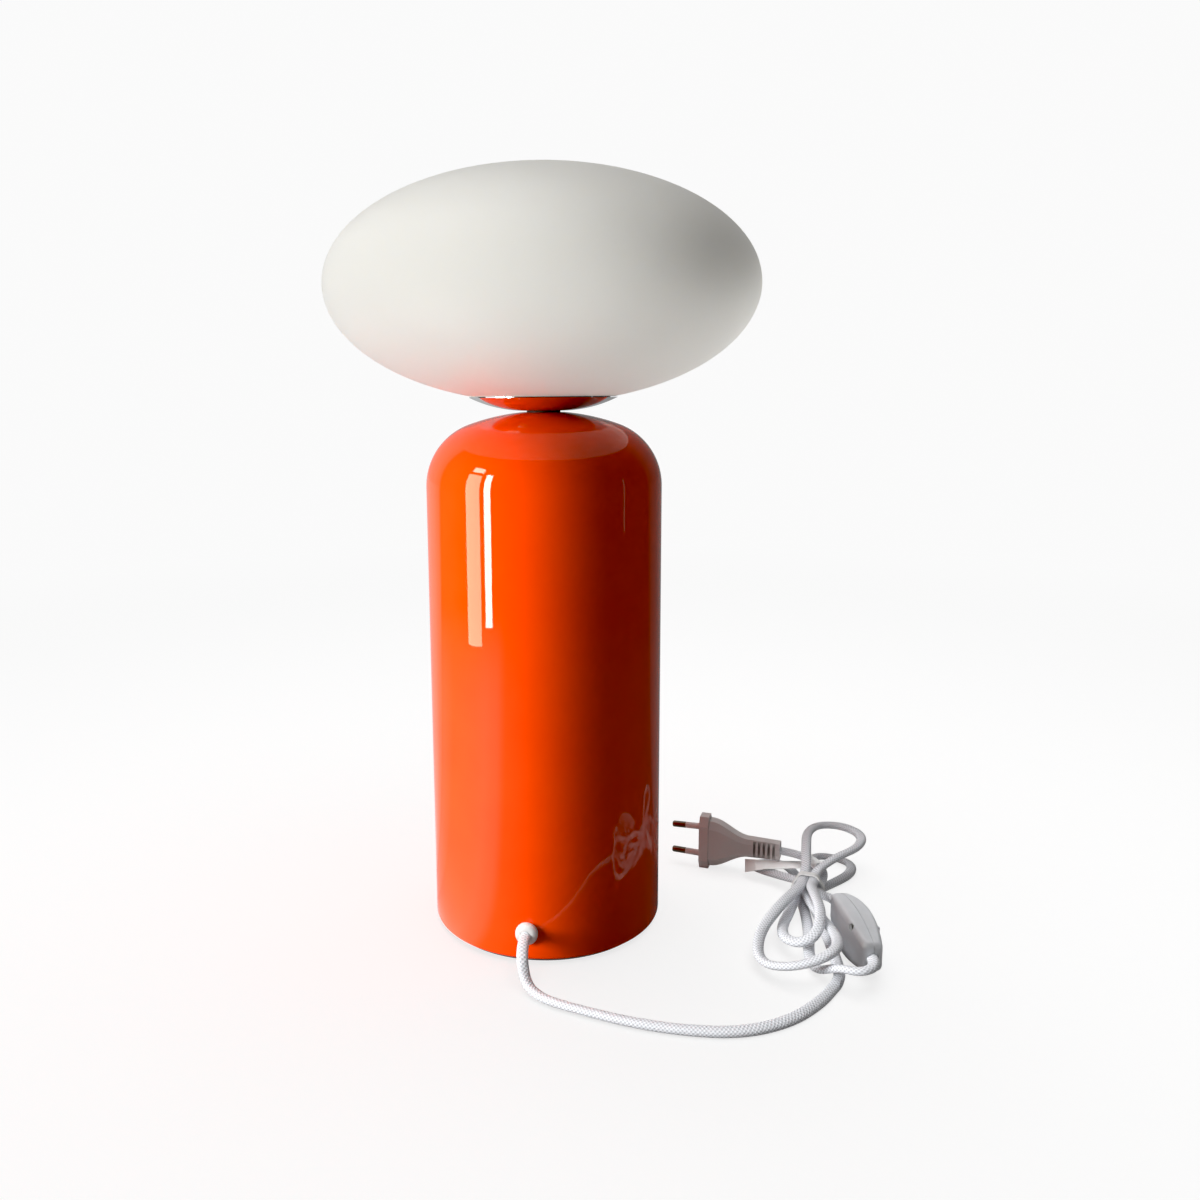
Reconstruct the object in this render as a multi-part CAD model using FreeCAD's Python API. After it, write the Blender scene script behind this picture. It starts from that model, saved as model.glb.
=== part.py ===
import FreeCAD, Part
import math
import os
from FreeCAD import Placement, Rotation, Vector

os.makedirs("parts", exist_ok=True)

# All sizes are in millimetres and all angles in degrees.
# The origin is the middle of the underside, +Z is up and the cord leaves towards -Y.

# Lacquered base: a spun steel cylinder with a domed top
BASE_RADIUS = 67.0
BASE_APEX = 299.5
SHOULDER_RADIUS = 37.0
CROWN_RADIUS = 126.0
SEAT_RADIUS = 12.0
SHELL_WALL = 1.2
FOOT_RADIUS = 2.5
FLANGE_WIDTH = 12.0
FLAT_GAP = 0.1
ROUND_GAP = 0.15

# Underside: pad, plate, ballast and their fixings
PAD_THICKNESS = 1.0
PLATE_THICKNESS = 1.2
PLATE_INSET = 1.0
BALLAST_RADIUS = 46.0
BALLAST_THICKNESS = 9.0
STUD_RADIUS = 3.0
BASE_SCREW_RADIUS = 2.0
BASE_SCREW_COUNT = 3
CLINCH_FLATS = 7.0
CLINCH_HEIGHT = 3.2

# Cord and the grommet it leaves through
CORD_DIAMETER = 5.6
CORD_HEIGHT = 18.3
GROMMET_RADIUS = 6.2
GROMMET_NECK = 4.7
GROMMET_DOME = 4.0
INNER_BEND = 24.0
CLIP_DISTANCE = 33.0

# Neck: threaded nipple, nut, washers and the chromed cup
NIPPLE_RADIUS = 5.0
NIPPLE_BORE = 3.3
NUT_FLATS = 14.0
NUT_HEIGHT = 4.0
WASHER_THICKNESS = 1.5
GASKET_THICKNESS = 0.8
CUP_FOOT_RADIUS = 10.0
CUP_RIM_RADIUS = 41.7
CUP_BELLY_RADIUS = 30.0
CUP_BELLY_SHARE = 0.38
CUP_LIP = 0.6
LIP_GAP = 0.15
CUP_WALL = 1.0
SPACER_HEIGHT = 2.7
SPACER_RADIUS = 8.0
HOLDER_PLATE_RADIUS = 28.0
HOLDER_PLATE_THICKNESS = 1.2
CLIP_COUNT = 3
CLIP_THICKNESS = 0.5
CLIP_WIDTH = 8.0
CLIP_RISE = 11.0

# Opal glass shade: a flattened ellipsoid
SHADE_RADIUS = 120.0
SHADE_HALF_HEIGHT = 63.0
MOUTH_RISE = 7.2
GLASS_WALL = 3.0
MOUTH_RADIUS = 36.0
OVAL_ARCS = 8
CAP_SHARE = 0.33
SHADE_GAP = 0.3

# E14 lampholder and lamp
HOLDER_RADIUS = 14.0
HOLDER_CAP_HEIGHT = 18.0
HOLDER_HEIGHT = 46.0
LAMP_RADIUS = 22.5
LAMP_CAP_RADIUS = 6.9
LAMP_THREAD_PITCH = 2.82
LAMP_CAP_HEIGHT = 22.0
LAMP_COLLAR_HEIGHT = 16.0

# In-line switch, standing on its long edge beside the hank
SWITCH_LENGTH = 60.0
SWITCH_WIDTH = 26.0
SWITCH_END_WIDTH = 15.0
SWITCH_THICKNESS = 17.0
SWITCH_END_THICKNESS = 10.0
SWITCH_CAVITY = (44.0, 13.8, 11.0)
SWITCH_EDGE = 3.6
SWITCH_SEAM = 0.4
SWITCH_CENTRE = (178.5, -27.5)
SWITCH_HEADING = -78.5
ROCKER_LENGTH = 19.6
ROCKER_GAP = 0.6
ROCKER_PIVOT = 3.6
ROCKER_TILT = 7.0

# Two-pin plug, standing on the edge of its flange
PLUG_WIDTH = 35.3
PLUG_THICKNESS = 13.7
PLUG_FLANGE = 6.0
PLUG_NECK = 31.0
PLUG_LENGTH = 52.0
PLUG_SLOTS = 5
PLUG_SLOT = (1.5, 1.4)
PLUG_CENTRE = (90.6, 71.2)
PLUG_HEADING = -10.6
PIN_RADIUS = 2.0
PIN_LENGTH = 19.0
PIN_PITCH = 18.6
PIN_TIP_PITCH = 17.5
SLEEVE_LENGTH = 10.0
CORD_SOCKET = 8.0

# Hank of spare cord, tied at its waist
STRAND_GAP = 0.62
TABLE_GAP = 0.2
HANK_WAIST = (157.0, 28.0)
HANK_HEADING = 78.0
TIE_WIDTH = 4.0
TIE_THICKNESS = 0.8
WAIST_HALF = 6.0
LOBE_POINTS = 9
LOBE_POWER = 3.2

# Flag label: its width, its thickness, and points along its tongue with the lean of its face
LABEL_WIDTH = 9.0
LABEL_THICKNESS = 0.35
LABEL_TONGUE = ((159.0, 57.0, 11.5, 0), (145.0, 55.2, 11.0, 7), (132.0, 54.8, 10.4, 12),
                (126.0, 55.6, 9.4, 24), (119.5, 59.4, 6.9, 38))

UP = Vector(0, 0, 1)


# Shapes that several pieces share
def turned(start, *steps):
    """A solid of revolution; a step is a corner, or a pair: a point on an arc and its end."""
    here = Vector(start[0], 0, start[1])
    first = here
    edges = []
    for step in steps:
        if isinstance(step[0], tuple):
            middle = Vector(step[0][0], 0, step[0][1])
            end = Vector(step[1][0], 0, step[1][1])
            edges.append(Part.Arc(here, middle, end).toShape())
        else:
            end = Vector(step[0], 0, step[1])
            edges.append(Part.makeLine(here, end))
        here = end
    if here.distanceToPoint(first) > 1e-6:
        edges.append(Part.makeLine(here, first))
    return Part.Face(Part.Wire(edges)).revolve(Vector(), UP, 360)


def rod(radius, bottom, top, x=0.0, y=0.0):
    return Part.makeCylinder(radius, top - bottom, Vector(x, y, bottom))


def tube(outer, inner, bottom, top, x=0.0, y=0.0):
    return rod(outer, bottom, top, x, y).cut(rod(inner, bottom - 1, top + 1, x, y))


def block(low, high):
    size = Vector(*high) - Vector(*low)
    return Part.makeBox(size.x, size.y, size.z, Vector(*low))


def hex_nut(flats, bore, bottom, top, x=0.0, y=0.0):
    corner = flats / math.sqrt(3)
    points = []
    for k in range(7):
        turn = math.radians(60 * k)
        points.append(Vector(x + corner * math.cos(turn), y + corner * math.sin(turn), bottom))
    body = Part.Face(Part.makePolygon(points)).extrude(UP * (top - bottom))
    return body.cut(rod(bore, bottom - 1, top + 1, x, y))


def around(shape, count, first=0.0):
    copies = []
    for k in range(count):
        copy = shape.copy()
        copy.rotate(Vector(), UP, first + 360.0 * k / count)
        copies.append(copy)
    return copies


def bent_strip(points, thickness, width):
    """A bent strip of sheet; its middle line lies in the XZ plane and its width along Y."""
    upper = []
    lower = []
    for k, point in enumerate(points):
        before = points[max(k - 1, 0)]
        after = points[min(k + 1, len(points) - 1)]
        along = Vector(after[0] - before[0], 0, after[1] - before[1]).normalize()
        side = Vector(-along.z, 0, along.x) * (thickness / 2)
        middle = Vector(point[0], -width / 2, point[1])
        upper.append(middle + side)
        lower.append(middle - side)
    outline = upper + lower[::-1]
    face = Part.Face(Part.makePolygon(outline + outline[:1]))
    return face.extrude(Vector(0, width, 0))


def route_edges(points):
    """Straight runs joined by tangent arcs, one arc at each inner point."""
    points = [Vector(*p) for p in points]
    edges = []
    here = points[0]
    for k in range(1, len(points) - 1):
        before = (points[k] - points[k - 1])
        after = (points[k + 1] - points[k])
        reach = 0.45 * min(before.Length, after.Length)
        half_turn = before.getAngle(after) / 2
        before.normalize()
        after.normalize()
        start = points[k] - before * reach
        end = points[k] + after * reach
        radius = reach / math.tan(half_turn)
        inward = (after - before).normalize()
        middle = points[k] + inward * (radius / math.cos(half_turn) - radius)
        edges.append(Part.LineSegment(here, start).toShape())
        edges.append(Part.Arc(start, middle, end).toShape())
        here = end
    edges.append(Part.LineSegment(here, points[-1]).toShape())
    return edges


def piped(edges, diameter):
    """A round bar along joined edges."""
    at = edges[0].FirstParameter
    ring = Part.makeCircle(diameter / 2, edges[0].valueAt(at), edges[0].tangentAt(at))
    return Part.Wire(edges).makePipeShell([Part.Wire(ring)], True, False)


def routed_tube(points, diameter, name):
    edges = route_edges(points)
    print(name, "length", round(sum(edge.Length for edge in edges), 1))
    return piped(edges, diameter)


nodes = {}

# Heights of the stack, from the table up
foot_z = PAD_THICKNESS + PLATE_THICKNESS
flange_z = foot_z + SHELL_WALL
ballast_top = foot_z + BALLAST_THICKNESS
shoulder_r = BASE_RADIUS - SHOULDER_RADIUS
crown_z = BASE_APEX - CROWN_RADIUS
shoulder_z = crown_z + math.sqrt((CROWN_RADIUS - SHOULDER_RADIUS) ** 2 - shoulder_r ** 2)
join = math.atan2(shoulder_z - crown_z, shoulder_r)
seat_z = crown_z + math.sqrt(CROWN_RADIUS ** 2 - SEAT_RADIUS ** 2)
cup_z = seat_z + GASKET_THICKNESS
cup_floor = cup_z + CUP_WALL
plate_z = cup_floor + SPACER_HEIGHT
holder_z = plate_z + HOLDER_PLATE_THICKNESS
mouth_z = cup_z + MOUTH_RISE
glass_z = mouth_z + SHADE_HALF_HEIGHT * math.sqrt(1 - (MOUTH_RADIUS / SHADE_RADIUS) ** 2)
nipple_fit = NIPPLE_RADIUS + ROUND_GAP


# Base shell
def shoulder_point(turn, depth):
    reach = SHOULDER_RADIUS - depth
    return (shoulder_r + reach * math.cos(turn), shoulder_z + reach * math.sin(turn))


def crown_point(turn, depth):
    reach = CROWN_RADIUS - depth
    return (reach * math.cos(turn), crown_z + reach * math.sin(turn))


flange_r = BASE_RADIUS - FOOT_RADIUS
bend = FOOT_RADIUS * math.sqrt(0.5)
inner_bend = (FOOT_RADIUS - SHELL_WALL) * math.sqrt(0.5)
top_turn = math.acos(SEAT_RADIUS / CROWN_RADIUS)
inner_turn = math.asin((seat_z - SHELL_WALL - crown_z) / (CROWN_RADIUS - SHELL_WALL))
shell = turned(
    (flange_r - FLANGE_WIDTH, foot_z), (flange_r, foot_z),
    ((flange_r + bend, foot_z + FOOT_RADIUS - bend), (BASE_RADIUS, foot_z + FOOT_RADIUS)),
    (BASE_RADIUS, shoulder_z),
    (shoulder_point(join / 2, 0), shoulder_point(join, 0)),
    (crown_point((join + top_turn) / 2, 0), crown_point(top_turn, 0)),
    (nipple_fit, seat_z), (nipple_fit, seat_z - SHELL_WALL),
    crown_point(inner_turn, SHELL_WALL),
    (crown_point((join + inner_turn) / 2, SHELL_WALL), crown_point(join, SHELL_WALL)),
    (shoulder_point(join / 2, SHELL_WALL), shoulder_point(0, SHELL_WALL)),
    (BASE_RADIUS - SHELL_WALL, foot_z + FOOT_RADIUS),
    ((flange_r + inner_bend, foot_z + FOOT_RADIUS - inner_bend), (flange_r, flange_z)),
    (flange_r - FLANGE_WIDTH, flange_z))
screw_reach = flange_r - FLANGE_WIDTH / 2
screw_hole = rod(BASE_SCREW_RADIUS + ROUND_GAP, -1, flange_z + 1, screw_reach)
screw_holes = around(screw_hole, BASE_SCREW_COUNT, 90)
grommet_hole = Part.makeCylinder(GROMMET_NECK + ROUND_GAP, 3 * GROMMET_RADIUS,
                                 Vector(0, -BASE_RADIUS - GROMMET_RADIUS, CORD_HEIGHT), Vector(0, 1, 0))
nodes["base_shell"] = shell.cut(Part.makeCompound(screw_holes)).cut(grommet_hole)

# Underside
plate_radius = flange_r - PLATE_INSET
head_radius = 2 * BASE_SCREW_RADIUS
stud_top = ballast_top + 8.5
plate = rod(plate_radius, PAD_THICKNESS, foot_z)
plate = plate.cut(Part.makeCompound(screw_holes)).fuse(rod(STUD_RADIUS, foot_z, stud_top))
nodes["base_plate"] = plate
pad = rod(plate_radius - PLATE_INSET, 0, PAD_THICKNESS)
pad_hole = rod(head_radius + 0.6, -1, PAD_THICKNESS + 1, screw_reach)
nodes["base_pad"] = pad.cut(Part.makeCompound(around(pad_hole, BASE_SCREW_COUNT, 90)))
nodes["ballast_disc"] = tube(BALLAST_RADIUS, STUD_RADIUS + ROUND_GAP, foot_z, ballast_top)
clip_strap = 1.2
nodes["ballast_nut"] = hex_nut(10.0, STUD_RADIUS + ROUND_GAP, ballast_top + clip_strap,
                               ballast_top + clip_strap + 5.0)
nut_top = flange_z + CLINCH_HEIGHT
base_screw = rod(head_radius, 0.2, PAD_THICKNESS, screw_reach)
base_screw = base_screw.fuse(rod(BASE_SCREW_RADIUS, 0.2, nut_top + 1.0, screw_reach))
nodes["base_screws"] = Part.makeCompound(around(base_screw, BASE_SCREW_COUNT, 90))
clinch_nut = hex_nut(CLINCH_FLATS, BASE_SCREW_RADIUS + ROUND_GAP, flange_z, nut_top, screw_reach)
nodes["clinch_nuts"] = Part.makeCompound(around(clinch_nut, BASE_SCREW_COUNT, 90))

# Grommet, a domed bush held in the wall by its inner collar
cord_fit = CORD_DIAMETER / 2 + ROUND_GAP
collar_top = -SHELL_WALL - 0.5
collar_bottom = collar_top - 2.0
dome_lip = 1.0
dome_rise = GROMMET_DOME - dome_lip
dome_span = GROMMET_RADIUS - cord_fit - 0.6
dome_middle = (GROMMET_RADIUS - dome_span * (1 - math.sqrt(0.5)), dome_lip + dome_rise * math.sqrt(0.5))
grommet_cap = turned((cord_fit, -1.0), (GROMMET_RADIUS, -1.0), (GROMMET_RADIUS, dome_lip),
                     (dome_middle, (cord_fit + 0.6, GROMMET_DOME)), (cord_fit, GROMMET_DOME))
grommet_neck = turned((cord_fit, collar_bottom), (GROMMET_NECK + 0.9, collar_bottom),
                      (GROMMET_NECK + 0.9, collar_top), (GROMMET_NECK, collar_top),
                      (GROMMET_NECK, 0.5), (cord_fit, 0.5))
outward = Placement(Vector(0, -BASE_RADIUS, CORD_HEIGHT), Rotation(Vector(1, 0, 0), 90))
grommet_cap.Placement = outward
grommet_neck.Placement = outward
grommet_cap = grommet_cap.cut(rod(BASE_RADIUS, 0, 3 * CORD_HEIGHT))
nodes["grommet"] = grommet_cap.fuse(grommet_neck).removeSplitter()

# Cord inside the base, from the mouth of the grommet up to the lampholder
cord_start = -BASE_RADIUS - GROMMET_DOME
cord_end = holder_z + 4.5
bend_centre = Vector(0, -INNER_BEND, CORD_HEIGHT + INNER_BEND)
bend_middle = bend_centre + Vector(0, math.sqrt(0.5), -math.sqrt(0.5)) * INNER_BEND
inner_path = Part.Wire([
    Part.makeLine(Vector(0, cord_start, CORD_HEIGHT), Vector(0, -INNER_BEND, CORD_HEIGHT)),
    Part.Arc(Vector(0, -INNER_BEND, CORD_HEIGHT), bend_middle,
             Vector(0, 0, CORD_HEIGHT + INNER_BEND)).toShape(),
    Part.makeLine(Vector(0, 0, CORD_HEIGHT + INNER_BEND), Vector(0, 0, cord_end))])
cord_mouth = Vector(0, cord_start, CORD_HEIGHT)
inner_ring = Part.Wire(Part.makeCircle(CORD_DIAMETER / 2, cord_mouth, Vector(0, 1, 0)))
nodes["cord_inner"] = inner_path.makePipeShell([inner_ring], True, False)

# Clip that holds the inner cord down, under the ballast nut
clip_ring = tube(cord_fit + 1.3, cord_fit, -4, 4)
clip_ring.Placement = Placement(Vector(0, -CLIP_DISTANCE, CORD_HEIGHT), Rotation(Vector(1, 0, 0), 90))
strap = block((-4, -CLIP_DISTANCE - 4, ballast_top), (4, 7, ballast_top + clip_strap))
web = block((-1.5, -CLIP_DISTANCE - 4, ballast_top), (1.5, -CLIP_DISTANCE + 4, CORD_HEIGHT - cord_fit - 0.4))
clip = strap.fuse([web, clip_ring]).cut(rod(STUD_RADIUS + ROUND_GAP, ballast_top - 1, stud_top))
nodes["cord_clip"] = clip.removeSplitter()

# Neck
washer_bottom = seat_z - SHELL_WALL - WASHER_THICKNESS
nut_bottom = washer_bottom - NUT_HEIGHT
nodes["dome_washer"] = tube(SEAT_RADIUS - 1.0, nipple_fit, washer_bottom, seat_z - SHELL_WALL)
nodes["nipple_nut"] = hex_nut(NUT_FLATS, nipple_fit, nut_bottom, washer_bottom)
nodes["nipple"] = tube(NIPPLE_RADIUS, NIPPLE_BORE, nut_bottom - 3.0, holder_z + 4.0)
nodes["cup_gasket"] = tube(CUP_FOOT_RADIUS - 0.5, nipple_fit, seat_z, cup_z)
nodes["cup_spacer"] = tube(SPACER_RADIUS, nipple_fit, cup_floor, plate_z)


# Chromed cup, a shallow dish with a short upright lip
def circle_through(a, b, c):
    d = 2 * (a[0] * (b[1] - c[1]) + b[0] * (c[1] - a[1]) + c[0] * (a[1] - b[1]))
    squares = [p[0] ** 2 + p[1] ** 2 for p in (a, b, c)]
    x = (squares[0] * (b[1] - c[1]) + squares[1] * (c[1] - a[1]) + squares[2] * (a[1] - b[1])) / d
    z = (squares[0] * (c[0] - b[0]) + squares[1] * (a[0] - c[0]) + squares[2] * (b[0] - a[0])) / d
    return x, z, math.hypot(a[0] - x, a[1] - z)


lip_inside = CUP_RIM_RADIUS - CUP_WALL
glass_over_lip = glass_z - SHADE_HALF_HEIGHT * math.sqrt(1 - (lip_inside / SHADE_RADIUS) ** 2)
lip_z = glass_over_lip - LIP_GAP
rim_z = lip_z - CUP_LIP
belly = (CUP_BELLY_RADIUS, cup_z + CUP_BELLY_SHARE * (rim_z - cup_z))
dish_x, dish_z, dish_radius = circle_through((CUP_FOOT_RADIUS, cup_z), belly, (CUP_RIM_RADIUS, rim_z))


def dish_height(radius, depth):
    """Height of the dish at a radius, a depth inside its outer face."""
    return dish_z - math.sqrt((dish_radius - depth) ** 2 - (radius - dish_x) ** 2)


def dish_reach(height, depth):
    return dish_x + math.sqrt((dish_radius - depth) ** 2 - (dish_z - height) ** 2)


floor_edge = dish_reach(cup_floor, CUP_WALL)
cup_middle = (floor_edge + lip_inside) / 2
nodes["cup"] = turned(
    (nipple_fit, cup_z), (CUP_FOOT_RADIUS, cup_z), (belly, (CUP_RIM_RADIUS, rim_z)),
    (CUP_RIM_RADIUS, lip_z), (lip_inside, lip_z),
    (lip_inside, dish_height(lip_inside, CUP_WALL)),
    ((cup_middle, dish_height(cup_middle, CUP_WALL)), (floor_edge, cup_floor)), (nipple_fit, cup_floor))

# Plate in the cup, with spring clips riveted on
rivet_reach = HOLDER_PLATE_RADIUS - 5.0
rivet_hole = rod(1.6, plate_z - 1, holder_z + 2, rivet_reach)
rivet_holes = Part.makeCompound(around(rivet_hole, CLIP_COUNT))
nodes["holder_plate"] = tube(HOLDER_PLATE_RADIUS, nipple_fit, plate_z, holder_z).cut(rivet_holes)

clip_middle = holder_z + CLIP_THICKNESS / 2
spring_clip = bent_strip([
    (rivet_reach - 4.0, clip_middle), (MOUTH_RADIUS - 6.0, clip_middle),
    (MOUTH_RADIUS - 3.6, mouth_z - 0.05 * CLIP_RISE), (MOUTH_RADIUS - 3.0, mouth_z + 0.27 * CLIP_RISE),
    (MOUTH_RADIUS - 0.9, mouth_z + 0.59 * CLIP_RISE), (MOUTH_RADIUS - 2.6, mouth_z + CLIP_RISE)],
    CLIP_THICKNESS, CLIP_WIDTH)
spring_clips = around(spring_clip.cut(rivet_hole), CLIP_COUNT)
nodes["spring_clips"] = Part.makeCompound(spring_clips)
rivet = rod(1.5, plate_z - 0.7, holder_z + CLIP_THICKNESS + 0.9, rivet_reach)
rivet = rivet.fuse(rod(2.6, plate_z - 0.7, plate_z, rivet_reach))
rivet = rivet.fuse(rod(2.6, holder_z + CLIP_THICKNESS, holder_z + CLIP_THICKNESS + 0.9, rivet_reach))
nodes["clip_rivets"] = Part.makeCompound(around(rivet, CLIP_COUNT))

# Soft ring that the glass sits on and centres on
ring_inside = MOUTH_RADIUS - 1.8
ring_outside = MOUTH_RADIUS + 1.5
ring_top = mouth_z - SHADE_GAP
ring_depth = CUP_WALL + FLAT_GAP / 2
ring_middle = (ring_inside + ring_outside) / 2
nodes["seat_ring"] = turned(
    (ring_inside, dish_height(ring_inside, ring_depth)),
    ((ring_middle, dish_height(ring_middle, ring_depth)),
     (ring_outside, dish_height(ring_outside, ring_depth))),
    (ring_outside, ring_top), (MOUTH_RADIUS - 0.5, ring_top), (MOUTH_RADIUS - 0.5, mouth_z + 2.5),
    (ring_inside, mouth_z + 2.5))


# Glass shade, an oval turned about the axis: a chain of arcs, with a round cap at its pole
def oval_point(radius, half_height, turn):
    return (radius * math.cos(turn), glass_z + half_height * math.sin(turn))


def oval_chain(radius, half_height):
    """The mouth edge, the arcs up to the cap, and the cap's arc to the pole."""
    first = -math.acos(MOUTH_RADIUS / radius)
    last = math.acos(CAP_SHARE)
    step = (last - first) / OVAL_ARCS
    arcs = []
    for k in range(OVAL_ARCS):
        middle = oval_point(radius, half_height, first + (k + 0.5) * step)
        arcs.append((middle, oval_point(radius, half_height, first + (k + 1) * step)))
    edge_r, edge_z = arcs[-1][1]
    cap_z = edge_z - (edge_z - glass_z) * (radius / half_height) ** 2
    cap_radius = math.hypot(edge_r, edge_z - cap_z)
    lean = math.atan2(edge_r, edge_z - cap_z) / 2
    arcs.append(((cap_radius * math.sin(lean), cap_z + cap_radius * math.cos(lean)), (0, cap_z + cap_radius)))
    return oval_point(radius, half_height, first), arcs


def backwards(start, arcs):
    """The same chain of arcs from its last end to its start."""
    ends = [start] + [end for middle, end in arcs]
    return ends[-1], [(arcs[k][0], ends[k]) for k in reversed(range(len(arcs)))]


outer_mouth, outer_arcs = oval_chain(SHADE_RADIUS, SHADE_HALF_HEIGHT)
inner_pole, inner_arcs = backwards(*oval_chain(SHADE_RADIUS - GLASS_WALL, SHADE_HALF_HEIGHT - GLASS_WALL))
nodes["shade_glass"] = turned(outer_mouth, *outer_arcs, inner_pole, *inner_arcs)

# Lampholder
cap_top = holder_z + HOLDER_CAP_HEIGHT
holder_top = holder_z + HOLDER_HEIGHT
ledge_z = holder_z + 11.0
insulator_radius = HOLDER_RADIUS - 1.7
nodes["lampholder_cap"] = turned(
    (nipple_fit, holder_z), (HOLDER_RADIUS, holder_z), (HOLDER_RADIUS, cap_top),
    (HOLDER_RADIUS - 1.6, cap_top), (HOLDER_RADIUS - 1.6, ledge_z), (HOLDER_RADIUS - 3.2, ledge_z),
    (HOLDER_RADIUS - 3.2, holder_z + 3.0), (nipple_fit, holder_z + 3.0))
terminal_reach = 6.0
insulator = rod(insulator_radius, ledge_z, cap_top)
terminal_holes = [rod(1.35, ledge_z - 1, ledge_z + 4.0, x) for x in (-terminal_reach, terminal_reach)]
nodes["lampholder_insulator"] = insulator.cut(Part.makeCompound(terminal_holes))
skirt_inside = HOLDER_RADIUS - 2.8
nodes["lampholder_skirt"] = turned(
    (skirt_inside, cap_top), (HOLDER_RADIUS, cap_top), (HOLDER_RADIUS, cap_top + 3.0),
    (HOLDER_RADIUS - 0.8, cap_top + 3.0), (HOLDER_RADIUS - 0.8, holder_top), (skirt_inside, holder_top))
shell_inside = LAMP_CAP_RADIUS + 0.3
nodes["socket_shell"] = turned(
    (4.0, cap_top), (skirt_inside - 0.4, cap_top), (skirt_inside - 0.4, cap_top + 0.5),
    (shell_inside + 0.5, cap_top + 0.5), (shell_inside + 0.5, cap_top + 19.0),
    (shell_inside, cap_top + 19.0), (shell_inside, cap_top + 0.5), (4.0, cap_top + 0.5))
contact_line = [(-3.0, cap_top + 0.15), (1.9, cap_top + 0.15), (2.8, cap_top + 0.5),
                (3.0, cap_top + 1.0), (2.5, cap_top + 1.5), (-1.5, cap_top + 2.3)]
nodes["centre_contact"] = bent_strip(contact_line, 0.3, 3.0)
screws = []
wires = []
for side in (-1, 1):
    x = side * terminal_reach
    screws.append(rod(1.2, ledge_z, ledge_z + 4.0, x).fuse(rod(2.3, ledge_z - 2.0, ledge_z, x)))
    wire_points = [(side * 1.3, 0, cord_end), (side * 1.3, 0, cord_end + 1.6),
                   (x, 0, ledge_z - 4.2), (x, 0, ledge_z - 2.0)]
    wires.append(routed_tube(wire_points, 1.4, "lampholder wire"))
nodes["terminal_screws"] = Part.makeCompound(screws)
nodes["lampholder_wires"] = Part.makeCompound(wires)

# Lamp
tip_z = cap_top + 2.6
lamp_cap_top = tip_z + LAMP_CAP_HEIGHT
collar_z = lamp_cap_top + LAMP_COLLAR_HEIGHT
globe_reach = 0.655 * LAMP_RADIUS
globe_z = collar_z + math.sqrt(LAMP_RADIUS ** 2 - globe_reach ** 2)
nodes["lamp_tip"] = turned((0, tip_z), (1.4, tip_z), (2.4, tip_z + 0.7), (2.4, tip_z + 1.6),
                           (0, tip_z + 1.6))
thread = [(4.4, tip_z + 1.6), (LAMP_CAP_RADIUS - 0.5, tip_z + 4.0)]
for k in range(5):
    crest = tip_z + 4.0 + LAMP_THREAD_PITCH * (k + 0.5)
    thread.append((LAMP_CAP_RADIUS, crest))
    thread.append((LAMP_CAP_RADIUS - 0.5, crest + LAMP_THREAD_PITCH / 2))
nodes["lamp_cap"] = turned((0, tip_z + 1.6), *thread, (LAMP_CAP_RADIUS - 0.5, lamp_cap_top),
                           (0, lamp_cap_top))
nodes["lamp_collar"] = turned(
    (0, lamp_cap_top), (LAMP_CAP_RADIUS + 1.1, lamp_cap_top), (LAMP_CAP_RADIUS + 2.4, lamp_cap_top + 4.5),
    ((LAMP_CAP_RADIUS + 3.6, lamp_cap_top + 9.5), (globe_reach, collar_z)), (0, collar_z))
globe_inside = LAMP_RADIUS - 1.2
inside_reach = math.sqrt(globe_inside ** 2 - (globe_z - collar_z) ** 2)
nodes["lamp_globe"] = turned(
    (globe_reach, collar_z), ((LAMP_RADIUS, globe_z), (0, globe_z + LAMP_RADIUS)),
    (0, globe_z + globe_inside), ((globe_inside, globe_z), (inside_reach, collar_z)))

# In-line switch, drawn about its own middle: X along it, Y across it, Z towards the rocker
switch_turn = math.radians(SWITCH_HEADING)
switch_along = Vector(math.cos(switch_turn), math.sin(switch_turn), 0)
switch_out = Vector(-math.sin(switch_turn), math.cos(switch_turn), 0)
switch_place = Placement(Vector(SWITCH_CENTRE[0], SWITCH_CENTRE[1], SWITCH_WIDTH / 2),
                         Rotation(switch_along, switch_out.cross(switch_along), switch_out, "XYZ"))


def boat(length, middle, end, depth, sideways):
    """A bar with two bowed sides, drawn in the XY plane or, sideways, in the XZ plane."""
    def spot(x, w):
        return Vector(x, -depth / 2, w) if sideways else Vector(x, w, -depth / 2)
    half = length / 2
    edges = [Part.Arc(spot(-half, end / 2), spot(0, middle / 2), spot(half, end / 2)).toShape(),
             Part.makeLine(spot(half, end / 2), spot(half, -end / 2)),
             Part.Arc(spot(half, -end / 2), spot(0, -middle / 2), spot(-half, -end / 2)).toShape(),
             Part.makeLine(spot(-half, -end / 2), spot(-half, end / 2))]
    across = Vector(0, depth, 0) if sideways else Vector(0, 0, depth)
    return Part.Face(Part.Wire(edges)).extrude(across)


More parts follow.
